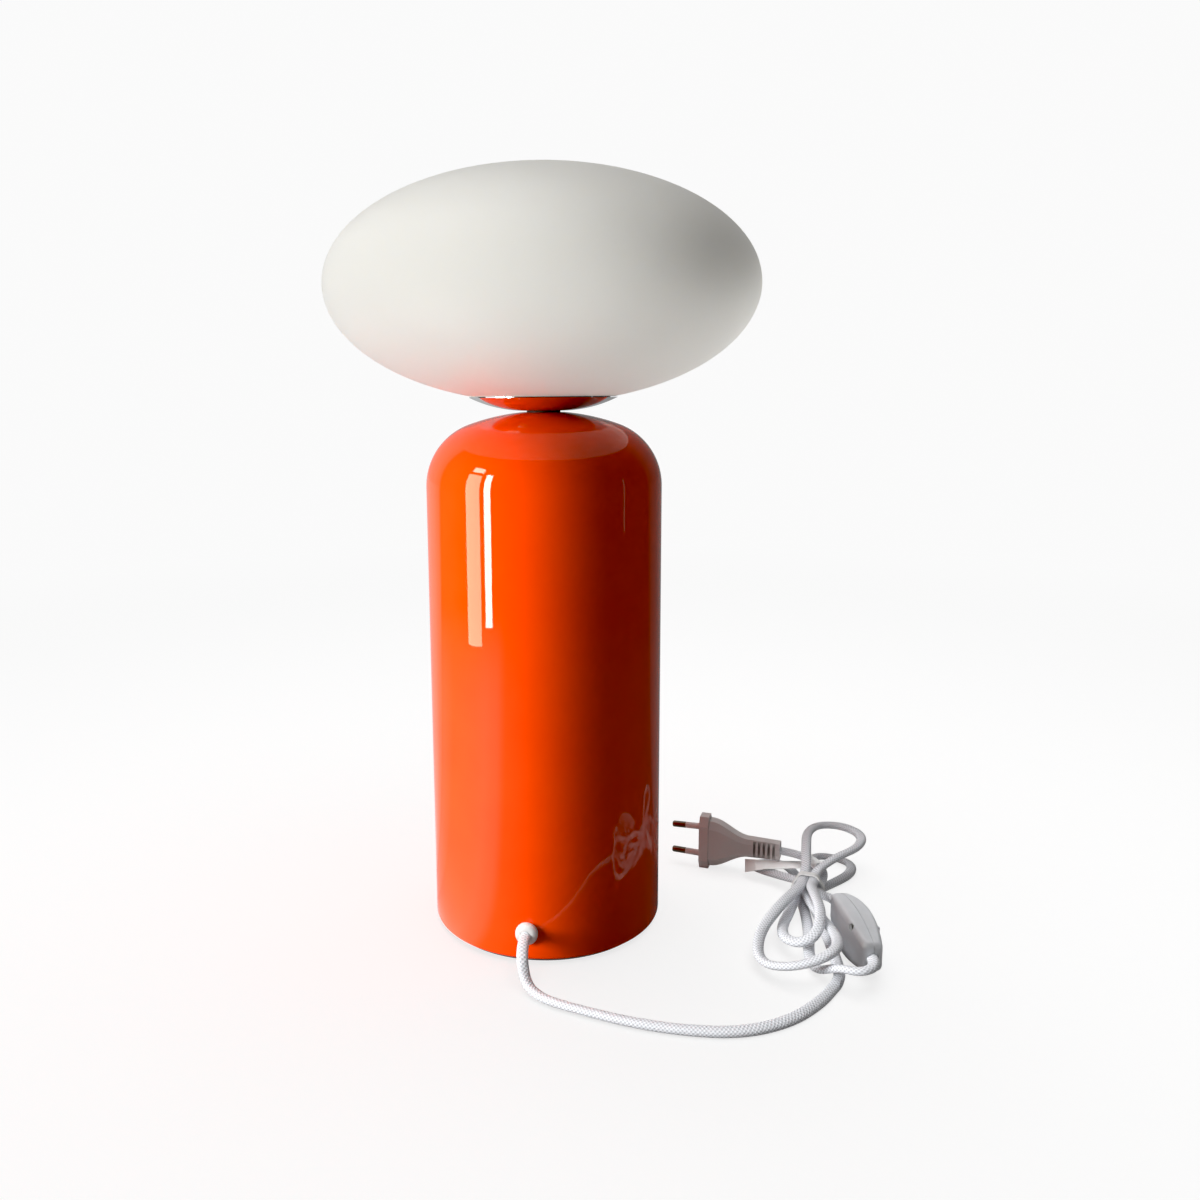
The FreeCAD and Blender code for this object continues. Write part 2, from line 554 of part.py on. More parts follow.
case = boat(SWITCH_LENGTH, SWITCH_WIDTH, SWITCH_END_WIDTH, 2 * SWITCH_THICKNESS, False)
case = case.common(boat(SWITCH_LENGTH, SWITCH_THICKNESS, SWITCH_END_THICKNESS, 2 * SWITCH_WIDTH, True))
case = case.makeFillet(SWITCH_EDGE, case.Edges)
cavity_x, cavity_y, cavity_z = [size / 2 for size in SWITCH_CAVITY]
case = case.cut(block((-cavity_x, -cavity_y, -cavity_z), (cavity_x, cavity_y, cavity_z)))
cord_way = Part.makeCylinder(cord_fit, 2 * SWITCH_LENGTH, Vector(-SWITCH_LENGTH, 0, 0), Vector(1, 0, 0))
case = case.cut(cord_way)
wide = SWITCH_LENGTH
lower_case = case.common(block((-wide, -wide, -wide), (wide, wide, 0)))
upper_case = case.common(block((-wide, -wide, 0), (wide, wide, wide)))
seam_core = boat(SWITCH_LENGTH - 1.0, SWITCH_WIDTH - 1.0, SWITCH_END_WIDTH - 1.0, 2.0, False)
upper_case = upper_case.cut(block((-wide, -wide, 0), (wide, wide, SWITCH_SEAM)).cut(seam_core))

rocker_half = ROCKER_LENGTH / 2
rocker_wide = cavity_y - ROCKER_GAP
rocker_top = SWITCH_THICKNESS / 2 + 0.8
tilt = math.radians(ROCKER_TILT)
swing = rocker_half * math.cos(tilt) + (rocker_top - ROCKER_PIVOT) * math.sin(tilt)
opening = swing + ROCKER_GAP / 2
upper_case = upper_case.cut(block((-opening, -cavity_y, 0), (opening, cavity_y, wide)))
pin_half = cavity_y + 1.9
pin_fit = 1.2 + 0.3
pin_room = pin_half + 0.3
pin_seat = Part.makeCylinder(pin_fit, 2 * pin_room, Vector(0, -pin_room, ROCKER_PIVOT), Vector(0, 1, 0))
upper_case = upper_case.cut(pin_seat)
upper_case = upper_case.cut(block((-pin_fit, -pin_room, -1), (pin_fit, pin_room, ROCKER_PIVOT)))
case_screws = []
head_z = -SWITCH_THICKNESS / 2 + 2.3
for side in (-1, 1):
    x = side * 14.0
    y = -side * (cavity_y + SWITCH_WIDTH / 2 - 1.2) / 2
    lower_case = lower_case.cut(rod(2.1, -wide, head_z, x, y)).cut(rod(1.3, head_z - 1, 1, x, y))
    upper_case = upper_case.cut(rod(1.3, -1, 4.5, x, y))
    case_screws.append(rod(1.9, head_z - 1.2, head_z, x, y).fuse(rod(1.15, head_z - 1.2, 4.2, x, y)))
detent = block((-2.5, -1.2, -cavity_z - 0.5), (2.5, 1.2, -2.4))
nodes["switch_lower_case"] = lower_case.fuse(detent)
nodes["switch_upper_case"] = upper_case
nodes["switch_case_screws"] = Part.makeCompound(case_screws)

# Rocker with its spring, its plunger and its brass contact bridge, tipped to its off end
rocker_outline = [(-rocker_half, 4.2), (-rocker_half, rocker_top), (0, rocker_top - 0.6),
                  (rocker_half, rocker_top), (rocker_half, 4.2), (3.2, 0.8), (-3.2, 0.8)]
rocker_points = [Vector(x, -rocker_wide, z) for x, z in rocker_outline]
rocker_side = Part.Face(Part.makePolygon(rocker_points + rocker_points[:1]))
rocker_pin = Part.makeCylinder(1.2, 2 * pin_half, Vector(0, -pin_half, ROCKER_PIVOT), Vector(0, 1, 0))
rocker = rocker_side.extrude(Vector(0, 2 * rocker_wide, 0)).fuse(rocker_pin)
spring_top = rocker_top - 2.0
plunger_tip = -2.0
rocker = rocker.cut(rod(1.6, -1, spring_top))
plunger = turned((0, plunger_tip), (0.7, plunger_tip), (1.3, plunger_tip + 0.8), (1.3, 1.6), (0, 1.6))
bridge = block((0.58 * rocker_half, -4.5, 1.0), (0.83 * rocker_half, 4.5, 4.0)).cut(rocker)
for name, shape in (("switch_rocker", rocker), ("switch_plunger", plunger), ("switch_bridge", bridge),
                    ("switch_spring", tube(1.4, 0.9, 1.6, spring_top))):
    shape.rotate(Vector(0, 0, ROCKER_PIVOT), Vector(0, 1, 0), -ROCKER_TILT)
    nodes[name] = shape

# Brass terminals on the floor of the case, each with a tab under the bridge
floor = -cavity_z
tab_top = -0.25
tab_x = 0.7 * rocker_half
terminals = []
terminal_screws = []
for side in (-1, 1):
    x = side * 17.0
    post = block((x - 2.5, -2.5, floor), (x + 2.5, 2.5, floor + 4.0)).cut(rod(1.05, floor + 1.5, wide, x))
    near = min(x, tab_x - 1.5)
    far = max(x, tab_x + 1.5)
    low, high = sorted((side * 1.5, side * 4.5))
    strip = block((near, low, floor), (far, high, floor + 0.8))
    tab = block((tab_x - 1.5, low, floor), (tab_x + 1.5, high, tab_top))
    terminals.append(post.fuse([strip.cut(rod(1.05, floor + 0.8, wide, x)), tab]).removeSplitter())
    terminal_screws.append(rod(0.95, floor + 1.6, floor + 4.0, x).fuse(rod(1.8, floor + 4.0, floor + 5.2, x)))
nodes["switch_terminals"] = Part.makeCompound(terminals)
nodes["switch_terminal_screws"] = Part.makeCompound(terminal_screws)
for name in [n for n in nodes if n.startswith("switch_")]:
    nodes[name] = nodes[name].copy()
    nodes[name].Placement = switch_place.multiply(nodes[name].Placement)

# Plug, drawn about the middle of its front face: X towards its cord, Z across its two pins
plug_turn = math.radians(PLUG_HEADING)
plug_along = Vector(math.cos(plug_turn), math.sin(plug_turn), 0)
plug_place = Placement(Vector(PLUG_CENTRE[0], PLUG_CENTRE[1], PLUG_WIDTH / 2),
                       Rotation(plug_along, UP.cross(plug_along), UP, "XYZ"))


def plug_section(x, width, thickness, corner):
    """An upright eight-sided outline with cut corners."""
    half_w = width / 2
    half_t = thickness / 2
    corners = [(half_t, corner - half_w), (half_t, half_w - corner), (half_t - corner / 2, half_w),
               (corner / 2 - half_t, half_w), (-half_t, half_w - corner), (-half_t, corner - half_w),
               (corner / 2 - half_t, -half_w), (half_t - corner / 2, -half_w)]
    points = [Vector(x, y, z) for y, z in corners]
    return Part.makePolygon(points + points[:1])


neck_width = 12.0
neck_thickness = 9.6
flange = Part.Face(plug_section(0, PLUG_WIDTH, PLUG_THICKNESS, 6.0)).extrude(Vector(PLUG_FLANGE, 0, 0))
grip_sections = [plug_section(PLUG_FLANGE, PLUG_WIDTH - 5.0, PLUG_THICKNESS - 1.2, 5.0),
                 plug_section(PLUG_FLANGE + 8.0, PLUG_WIDTH - 8.3, PLUG_THICKNESS - 1.6, 4.6),
                 plug_section(PLUG_NECK - 7.0, neck_width + 4.2, neck_thickness + 1.0, 3.6),
                 plug_section(PLUG_NECK, neck_width, neck_thickness, 3.0)]
plug = flange.fuse(Part.makeLoft(grip_sections, True, False))
boot_sections = [plug_section(PLUG_NECK, neck_width, neck_thickness, 3.0),
                 plug_section(PLUG_LENGTH, neck_width - 1.2, neck_thickness - 0.4, 3.0)]
boot = Part.makeLoft(boot_sections, True, True)
slot_length, slot_depth = PLUG_SLOT
slot_pitch = (PLUG_LENGTH - PLUG_NECK - 5.5) / PLUG_SLOTS
slot_half = neck_width / 2 - 1.0
for k in range(PLUG_SLOTS):
    x = PLUG_NECK + 4.2 + k * slot_pitch
    floor_y = neck_thickness / 2 - 0.2 * (x - PLUG_NECK) / (PLUG_LENGTH - PLUG_NECK) - slot_depth
    for low, high in ((floor_y, neck_thickness), (-neck_thickness, -floor_y)):
        boot = boot.cut(block((x, low, -slot_half), (x + slot_length, high, slot_half)))
plug = plug.fuse(boot)
plug = plug.cut(Part.makeCylinder(CORD_DIAMETER / 2 + ROUND_GAP, CORD_SOCKET + 1,
                                  Vector(PLUG_LENGTH - CORD_SOCKET, 0, 0), Vector(1, 0, 0)))

# Pins, which lean a little towards each other, and the sleeves on their roots
pin_lean = math.degrees(math.asin((PIN_PITCH - PIN_TIP_PITCH) / 2 / PIN_LENGTH))
pin_root = PLUG_FLANGE - 1.5
sleeve_bore = PIN_RADIUS - 0.45
pin_core = sleeve_bore - FLAT_GAP / 5
pin_profile = turned((0, -pin_root), (pin_core, -pin_root), (pin_core, SLEEVE_LENGTH),
                     (PIN_RADIUS, SLEEVE_LENGTH), (PIN_RADIUS, PIN_LENGTH - 1.2),
                     ((PIN_RADIUS - 0.35, PIN_LENGTH - 0.35), (PIN_RADIUS - 1.2, PIN_LENGTH)),
                     (0, PIN_LENGTH))
sleeve_profile = tube(PIN_RADIUS, sleeve_bore, 0, SLEEVE_LENGTH)
pins = []
sleeves = []
for side in (-1, 1):
    place = Placement(Vector(0, 0, side * PIN_PITCH / 2), Rotation(Vector(0, 1, 0), -90 - side * pin_lean))
    for profile, pieces in ((pin_profile, pins), (sleeve_profile, sleeves)):
        piece = profile.copy()
        piece.Placement = place
        pieces.append(piece)
    hole = rod(sleeve_bore, -pin_root, 1)
    hole.Placement = place
    plug = plug.cut(hole)
face_cut = block((0, -PLUG_WIDTH, -PLUG_WIDTH), (PLUG_LENGTH, PLUG_WIDTH, PLUG_WIDTH))
nodes["plug_body"] = plug.removeSplitter()
nodes["plug_pins"] = Part.makeCompound(pins)
nodes["plug_sleeves"] = Part.makeCompound([sleeve.cut(face_cut) for sleeve in sleeves])
for name in ("plug_body", "plug_pins", "plug_sleeves"):
    nodes[name] = nodes[name].copy()
    nodes[name].Placement = plug_place.multiply(nodes[name].Placement)

# Cord outside the lamp. The hank is a figure of loops that all pass through one tie.
pitch = CORD_DIAMETER + STRAND_GAP
table = CORD_DIAMETER / 2 + TABLE_GAP
row = pitch * math.sqrt(0.75) * 1.02
waist_z = table + TIE_THICKNESS + 2 * TABLE_GAP
slots = {"low_left": (-pitch / 2, waist_z), "low_right": (pitch / 2, waist_z),
         "left": (-pitch, waist_z + row), "middle": (0, waist_z + row), "right": (pitch, waist_z + row),
         "high_left": (-pitch / 2, waist_z + 2 * row), "high_right": (pitch / 2, waist_z + 2 * row)}
hank_turn = math.radians(HANK_HEADING)
hank_along = Vector(math.cos(hank_turn), math.sin(hank_turn), 0)
hank_right = Vector(math.sin(hank_turn), -math.cos(hank_turn), 0)
hank_middle = Vector(HANK_WAIST[0], HANK_WAIST[1], 0)
lobe_peak = (LOBE_POWER / (LOBE_POWER + 1)) ** (LOBE_POWER / 2) * math.sqrt(1 / (LOBE_POWER + 1))


def in_hank(along, right, up):
    return hank_middle + hank_along * along + hank_right * right + UP * up


def through_tie(slot, away):
    """A strand's two points where it goes through the tie, away from the lamp's front or back to it."""
    ends = [in_hank(-WAIST_HALF, *slots[slot]), in_hank(WAIST_HALF, *slots[slot])]
    return ends if away else ends[::-1]


def lobe(side, slot_in, slot_out, heading, length, half_width, heights):
    """A drop-shaped loop on the far side (1) or near side (-1) of the tie."""
    first = slots[slot_in]
    last = slots[slot_out]
    leave = 1 if first[0] >= last[0] else -1
    stations = [first[1], *heights, last[1]]
    points = []
    for k in range(1, LOBE_POINTS + 1):
        part = k / (LOBE_POINTS + 1)
        sine = math.sin(math.pi * part)
        turn = math.radians(heading) * min(1, 1.5 * sine)
        out = length * sine ** 2
        across = leave * half_width / lobe_peak * sine ** LOBE_POWER * math.cos(math.pi * part)
        along = out * math.cos(turn) - across * math.sin(turn)
        right = out * math.sin(turn) + across * math.cos(turn)
        right = right + first[0] + (last[0] - first[0]) * part
        spot = part * (len(stations) - 1)
        at = min(int(spot), len(stations) - 2)
        ease = (1 - math.cos(math.pi * (spot - at))) / 2
        up = stations[at] + (stations[at + 1] - stations[at]) * ease
        points.append(in_hank(side * (WAIST_HALF + along), right, up))
    return points


run_route = [(0, cord_start, CORD_HEIGHT), (0, cord_start - 13, CORD_HEIGHT),
             (4, cord_start - 22, table + 1.5), (13, -101, table), (24, -106, table), (41, -111, table),
             (61, -116, table), (86, -119, table), (115, -117, table), (139, -104, table),
             (155, -85, table), (163, -70, table)]
switch_cord = SWITCH_LENGTH / 2 - 6.0
near_end = switch_place.multVec(Vector(switch_cord, 0, 0))
near_out = switch_place.multVec(Vector(SWITCH_LENGTH / 2 + 6.5, 0, 0))
far_end = switch_place.multVec(Vector(-switch_cord, 0, 0))
far_out = switch_place.multVec(Vector(-SWITCH_LENGTH / 2 - 6.5, 0, 0))
boot_in = plug_place.multVec(Vector(PLUG_LENGTH - CORD_SOCKET, 0, 0))
boot_out = plug_place.multVec(Vector(PLUG_LENGTH + 9.0, 0, 0))

hank_route = [Vector(163, -70, table), Vector(165.4, -65.5, table), Vector(168, -55, table),
              Vector(166.5, -34, table), Vector(163.5, -6, table)]
hank_route += through_tie("low_right", True)
hank_route += lobe(1, "low_right", "middle", 8, 60, 14, (table, table, table, 4.5, 8.0))
hank_route += through_tie("middle", False)
hank_route += lobe(-1, "middle", "high_left", 5, 92, 22.8, (10.6, 16.8, 5.5, 15.2))
hank_route += through_tie("high_left", True)
hank_route += lobe(1, "high_left", "high_right", 12, 64, 17, (24, 24, 21))
hank_route += through_tie("high_right", False)
hank_route += lobe(-1, "high_right", "left", 6, 63, 9.6, (19.0, 9.3, 6.2))
hank_route += through_tie("left", True)
hank_route += lobe(1, "left", "low_left", -40, 47, 12, (6.8, table, table))
hank_route += through_tie("low_left", False)
hank_route += [Vector(154.5, 4, table + 0.4), Vector(154.5, -18, table), Vector(152.5, -39, table),
               Vector(155.5, -55, table), Vector(165.2, -64.5, 10.8), Vector(177, -71.5, 12.8),
               near_out, near_end]
tail_route = [far_end, far_out] + through_tie("right", True)
tail_route += [Vector(168, 46, 11.5), Vector(163.5, 57, 13), boot_out, boot_in]

nodes["cord_run"] = routed_tube(run_route, CORD_DIAMETER, "cord run")
nodes["cord_hank"] = routed_tube(hank_route, CORD_DIAMETER, "cord hank")
nodes["cord_tail"] = routed_tube(tail_route, CORD_DIAMETER, "cord tail")

# Twist tie round the waist of the hank
tie_corners = [in_hank(-TIE_WIDTH / 2, *slots[name]) for name in
               ("low_left", "low_right", "right", "high_right", "high_left", "left", "low_left")]
bundle = Part.makePolygon(tie_corners)
tie_inside = Part.Face(bundle.makeOffset2D(CORD_DIAMETER / 2 + TABLE_GAP))
tie_outside = Part.Face(bundle.makeOffset2D(CORD_DIAMETER / 2 + TABLE_GAP + TIE_THICKNESS))
nodes["hank_tie"] = tie_outside.cut(tie_inside).extrude(hank_along * TIE_WIDTH)

# Blank flag label, a sleeve on the cord before the plug with a tongue that droops under its boot
tail_edges = route_edges(tail_route)
sleeve_edges = tail_edges[9:11]
label_bore = piped(tail_edges[8:12], 2 * cord_fit)
label_sections = []
for x, y, z, lean in LABEL_TONGUE:
    turn = math.radians(lean)
    half = Vector(0, math.cos(turn), math.sin(turn)) * (LABEL_WIDTH / 2)
    thick = Vector(0, -math.sin(turn), math.cos(turn)) * (LABEL_THICKNESS / 2)
    middle = Vector(x, y, z)
    corners = [middle - half - thick, middle + half - thick, middle + half + thick, middle - half + thick]
    label_sections.append(Part.makePolygon(corners + corners[:1]))
label = Part.makeLoft(label_sections, True, True).fuse(piped(sleeve_edges, 2 * (cord_fit + LABEL_THICKNESS)))
nodes["cord_label"] = label.cut(label_bore)

for name, shape in nodes.items():
    if not shape.isValid():
        print("not valid:", name)
    if shape.Volume <= 0:
        shape = shape.reversed()
    print(name, len(shape.Solids), round(shape.Volume, 1))
    shape.exportStep("parts/" + name + ".step")
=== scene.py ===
import math

import bpy
from mathutils import Matrix, Vector


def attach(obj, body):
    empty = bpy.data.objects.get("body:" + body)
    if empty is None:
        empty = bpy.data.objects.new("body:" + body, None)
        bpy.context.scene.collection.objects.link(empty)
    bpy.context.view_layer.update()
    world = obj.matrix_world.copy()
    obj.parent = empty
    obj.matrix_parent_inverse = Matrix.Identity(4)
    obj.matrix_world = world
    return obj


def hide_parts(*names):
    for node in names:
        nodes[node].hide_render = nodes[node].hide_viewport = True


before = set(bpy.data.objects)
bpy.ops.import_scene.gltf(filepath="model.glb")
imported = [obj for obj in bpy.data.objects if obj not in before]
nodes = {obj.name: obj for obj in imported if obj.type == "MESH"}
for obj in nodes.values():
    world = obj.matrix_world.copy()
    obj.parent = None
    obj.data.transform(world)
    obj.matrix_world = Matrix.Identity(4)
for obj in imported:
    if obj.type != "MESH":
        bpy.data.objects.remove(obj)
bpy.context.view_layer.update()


# Base shell: a disc of steel spun over a form into a straight drum with a domed top and a rolled foot,
# then sprayed and baked in a glossy orange lacquer. A flat seat at the top of the dome takes the neck.
def arc(centre, radius, start, end, count):
    """Points on a round bend of an outline, from one angle to another in degrees."""
    points = []
    for k in range(count + 1):
        turn = math.radians(start + (end - start) * k / count)
        points.append((centre[0] + radius * math.cos(turn), centre[1] + radius * math.sin(turn)))
    return points


def spun(name, outline, turns=192, crease=40):
    """A closed outline of radius and height turned about the lamp's axis."""
    verts = []
    rows = []
    for radius, height in outline:
        if radius < 1e-6:
            rows.append([len(verts)] * turns)
            verts.append((0, 0, height))
            continue
        rows.append(range(len(verts), len(verts) + turns))
        for k in range(turns):
            turn = 2 * math.pi * k / turns
            verts.append((radius * math.cos(turn), radius * math.sin(turn), height))
    faces = []
    for low, high in zip(rows, rows[1:] + rows[:1]):
        for k in range(turns):
            after = (k + 1) % turns
            corners = list(dict.fromkeys((low[k], low[after], high[after], high[k])))
            if len(corners) > 2:
                faces.append(corners)
    return shown(name, verts, faces, crease)


def shown(name, verts, faces, crease):
    """A smooth-shaded piece with sharp edges where its faces turn by more than the crease."""
    mesh = bpy.data.meshes.new(name)
    mesh.from_pydata(verts, [], faces)
    mesh.validate()
    for face in mesh.polygons:
        face.use_smooth = True
    mesh.set_sharp_from_angle(angle=math.radians(crease))
    piece = bpy.data.objects.new(name, mesh)
    bpy.context.scene.collection.objects.link(piece)
    return piece


def new_finish(name):
    """A material with its node tree and its shader."""
    material = bpy.data.materials.new(name)
    material.use_nodes = True
    return material, material.node_tree, material.node_tree.nodes["Principled BSDF"]


def speckle(tree, scale, detail=3.0):
    """Noise that is fixed to the piece, finer as the scale grows."""
    place = tree.nodes.new("ShaderNodeTexCoord")
    noise = tree.nodes.new("ShaderNodeTexNoise")
    noise.inputs["Scale"].default_value = scale
    noise.inputs["Detail"].default_value = detail
    tree.links.new(place.outputs["Object"], noise.inputs["Vector"])
    return noise.outputs[0]


def spread(tree, value, low, high):
    """A value between 0 and 1 drawn out between two others."""
    ranged = tree.nodes.new("ShaderNodeMapRange")
    ranged.inputs["To Min"].default_value = low
    ranged.inputs["To Max"].default_value = high
    tree.links.new(value, ranged.inputs["Value"])
    return ranged.outputs["Result"]


def tints(tree, value, first, second, low=0.3, high=0.7):
    """Two tints of one colour, mixed by a value."""
    ramp = tree.nodes.new("ShaderNodeValToRGB")
    ramp.color_ramp.elements[0].position = low
    ramp.color_ramp.elements[0].color = (*first, 1)
    ramp.color_ramp.elements[1].position = high
    ramp.color_ramp.elements[1].color = (*second, 1)
    tree.links.new(value, ramp.inputs["Fac"])
    return ramp.outputs["Color"]


def mottled(tree, shader, scale, first, second, detail=3.0):
    """Gives a shader two close tints in soft patches, smaller as the scale grows."""
    tree.links.new(tints(tree, speckle(tree, scale, detail), first, second), shader.inputs["Base Color"])


def raised(tree, shader, height, strength, depth):
    """Small unevenness in the surface, with its depth in metres."""
    bump = tree.nodes.new("ShaderNodeBump")
    bump.inputs["Strength"].default_value = strength
    bump.inputs["Distance"].default_value = depth
    tree.links.new(height, bump.inputs["Height"])
    tree.links.new(bump.outputs["Normal"], shader.inputs["Normal"])


drum_radius = 0.067
sheet_steel = 0.0012
foot_height = 0.0022
foot_roll = 0.0025
dome_top = 0.2995
shoulder_roll = 0.037
crown_radius = 0.126
seat_radius = 0.012
flange_width = 0.012
flange_inside = drum_radius - foot_roll - flange_width
neck_hole = 0.0053
shoulder_axis = drum_radius - shoulder_roll
crown_centre = dome_top - crown_radius
shoulder_height = crown_centre + math.sqrt((crown_radius - shoulder_roll) ** 2 - shoulder_axis ** 2)
meeting = math.degrees(math.atan2(shoulder_height - crown_centre, shoulder_axis))
seat_turn = math.degrees(math.acos(seat_radius / crown_radius))
seat_height = crown_centre + crown_radius * math.sin(math.radians(seat_turn))
outside = [(flange_inside, foot_height)]
outside += arc((drum_radius - foot_roll, foot_height + foot_roll), foot_roll, -90, 0, 8)
wall_foot = foot_height + foot_roll
outside += [(drum_radius, wall_foot + (shoulder_height - wall_foot) * k / 24) for k in range(1, 24)]
outside += arc((shoulder_axis, shoulder_height), shoulder_roll, 0, meeting, 24)
outside += arc((0, crown_centre), crown_radius, meeting, seat_turn, 24)[1:]
outside += [(neck_hole, seat_height), (neck_hole, seat_height - sheet_steel)]
inner_seat_turn = 84.5
inside = arc((0, crown_centre), crown_radius - sheet_steel, inner_seat_turn, meeting, 20)
inside += arc((shoulder_axis, shoulder_height), shoulder_roll - sheet_steel, meeting, 0, 20)[1:]
inside += [(drum_radius - sheet_steel, foot_height + foot_roll),
           (drum_radius - foot_roll, foot_height + sheet_steel), (flange_inside, foot_height + sheet_steel)]
base_shell = spun("base_shell_lacquered", outside + inside, 256)
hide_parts("base_shell")
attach(base_shell, "lamp")
lacquer, tree, shader = new_finish("orange_lacquer")
shader.inputs["Roughness"].default_value = 0.2
shader.inputs["Coat Weight"].default_value = 1.0
shader.inputs["Coat Roughness"].default_value = 0.02
shader.inputs["Coat IOR"].default_value = 1.42
shader.inputs["Specular IOR Level"].default_value = 0.0
mottled(tree, shader, 40, (0.80, 0.052, 0.0035), (0.82, 0.057, 0.0045))
raised(tree, shader, speckle(tree, 700, 2.0), 0.03, 0.0001)
base_shell.data.materials.append(lacquer)


# Underside: a zinc-plated steel plate held by screws, with a disc of black cellular rubber stuck on
# so that the lamp neither slides nor marks the table.
def dress(material, *names):
    """Gives a finish to pieces that keep their shape from the solids."""
    for name in names:
        nodes[name].data.materials.clear()
        nodes[name].data.materials.append(material)


zinc, tree, shader = new_finish("zinc_plated_steel")
shader.inputs["Metallic"].default_value = 1.0
mottled(tree, shader, 220, (0.50, 0.51, 0.52), (0.62, 0.62, 0.61))
tree.links.new(spread(tree, speckle(tree, 400), 0.28, 0.48), shader.inputs["Roughness"])
raised(tree, shader, speckle(tree, 900), 0.1, 0.0001)
dress(zinc, "base_plate", "base_screws", "clinch_nuts", "ballast_nut", "dome_washer", "nipple_nut", "nipple",
      "cup_spacer", "holder_plate", "clip_rivets", "terminal_screws", "switch_case_screws", "switch_spring",
      "switch_terminal_screws")
rubber, tree, shader = new_finish("cellular_rubber")
shader.inputs["Roughness"].default_value = 0.85
mottled(tree, shader, 900, (0.010, 0.010, 0.011), (0.028, 0.028, 0.028))
raised(tree, shader, speckle(tree, 1500), 0.5, 0.0003)
dress(rubber, "base_pad", "cup_gasket")

# Ballast: a rough disc of cast iron that keeps the tall lamp from tipping. It lies in the foot of the shell,
# held by a nut on the stud of the plate.
iron, tree, shader = new_finish("cast_iron")
shader.inputs["Metallic"].default_value = 0.7
shader.inputs["Roughness"].default_value = 0.7
mottled(tree, shader, 120, (0.035, 0.034, 0.033), (0.08, 0.076, 0.072))
raised(tree, shader, speckle(tree, 500), 0.5, 0.0005)
dress(iron, "ballast_disc")

# Neck: spring-steel fingers riveted to a plate hold the glass, which stands on a pale silicone ring.
# They sit in the cup and show only when the shade is lifted off.
spring_steel, tree, shader = new_finish("spring_steel")
shader.inputs["Metallic"].default_value = 1.0
mottled(tree, shader, 300, (0.46, 0.47, 0.50), (0.58, 0.58, 0.60))
tree.links.new(spread(tree, speckle(tree, 600), 0.2, 0.34), shader.inputs["Roughness"])
dress(spring_steel, "spring_clips")
silicone, tree, shader = new_finish("pale_silicone")
shader.inputs["Roughness"].default_value = 0.5
shader.inputs["Subsurface Weight"].default_value = 0.2
shader.inputs["Subsurface Radius"].default_value = (0.002, 0.002, 0.002)
mottled(tree, shader, 200, (0.68, 0.67, 0.64), (0.75, 0.74, 0.71))
raised(tree, shader, speckle(tree, 900), 0.2, 0.0001)
dress(silicone, "seat_ring")

# Cup: a shallow dish spun from thin steel and chromed bright, with a short upright lip.
# It mirrors the orange dome from below, and its lip catches the light.
gasket = 0.0008
cup_bottom = seat_height + gasket
cup_sheet = 0.001
dish_flat = 0.010
dish_outside = [(neck_hole, cup_bottom), (dish_flat, cup_bottom)]
dish_radius = 0.07109
dish_x = 0.01035
dish_z = cup_bottom + dish_radius


def dish_height(radius):
    """The height of the dish's outer face at a radius."""
    return dish_z - math.sqrt(dish_radius ** 2 - (radius - dish_x) ** 2)


cup_rim = 0.0417
dish_radii = [dish_flat + (cup_rim - dish_flat) * k / 24 for k in range(1, 25)]
dish_outside += [(radius, dish_height(radius)) for radius in dish_radii]
lip_top = cup_bottom + 0.00788
lip_bevel = 0.0002
dish_outside += [(cup_rim, lip_top - lip_bevel / 2), (cup_rim - lip_bevel, lip_top),
                 (cup_rim - 4 * lip_bevel, lip_top)]
inner_reach = 0.030
inner_radii = [cup_rim - inner_reach * k / 20 for k in range(21)]
dish_inside = [(radius - cup_sheet, dish_height(radius) + cup_sheet) for radius in inner_radii]
dish_inside += [(neck_hole, cup_bottom + cup_sheet)]
cup = spun("cup_chromed", dish_outside + dish_inside, 256)
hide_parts("cup")
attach(cup, "lamp")
chrome, tree, shader = new_finish("bright_chrome")
shader.inputs["Base Color"].default_value = (0.86, 0.87, 0.88, 1)
shader.inputs["Metallic"].default_value = 1.0
tree.links.new(spread(tree, speckle(tree, 60), 0.02, 0.06), shader.inputs["Roughness"])
cup.data.materials.append(chrome)

# Lampholder: a white thermoplastic holder of the small screw size, with a brass thread shell
# and a sprung centre contact. Its cap screws down on the hollow nipple.
plastic, tree, shader = new_finish("white_plastic")
shader.inputs["Roughness"].default_value = 0.38
shader.inputs["Subsurface Weight"].default_value = 0.1
shader.inputs["Subsurface Radius"].default_value = (0.002, 0.002, 0.002)
mottled(tree, shader, 120, (0.76, 0.76, 0.76), (0.82, 0.82, 0.82))
raised(tree, shader, speckle(tree, 2200), 0.12, 0.0001)
dress(plastic, "lampholder_cap", "lampholder_insulator", "lampholder_skirt", "cord_clip", "lamp_collar")
brass, tree, shader = new_finish("bare_brass")
shader.inputs["Metallic"].default_value = 1.0
mottled(tree, shader, 250, (0.60, 0.42, 0.16), (0.74, 0.55, 0.24))
tree.links.new(spread(tree, speckle(tree, 500), 0.2, 0.38), shader.inputs["Roughness"])
dress(brass, "socket_shell", "centre_contact", "lamp_tip", "switch_bridge", "switch_terminals")
wire_cover, tree, shader = new_finish("wire_cover")
shader.inputs["Roughness"].default_value = 0.45
mottled(tree, shader, 300, (0.20, 0.09, 0.05), (0.25, 0.12, 0.07))
dress(wire_cover, "lampholder_wires")

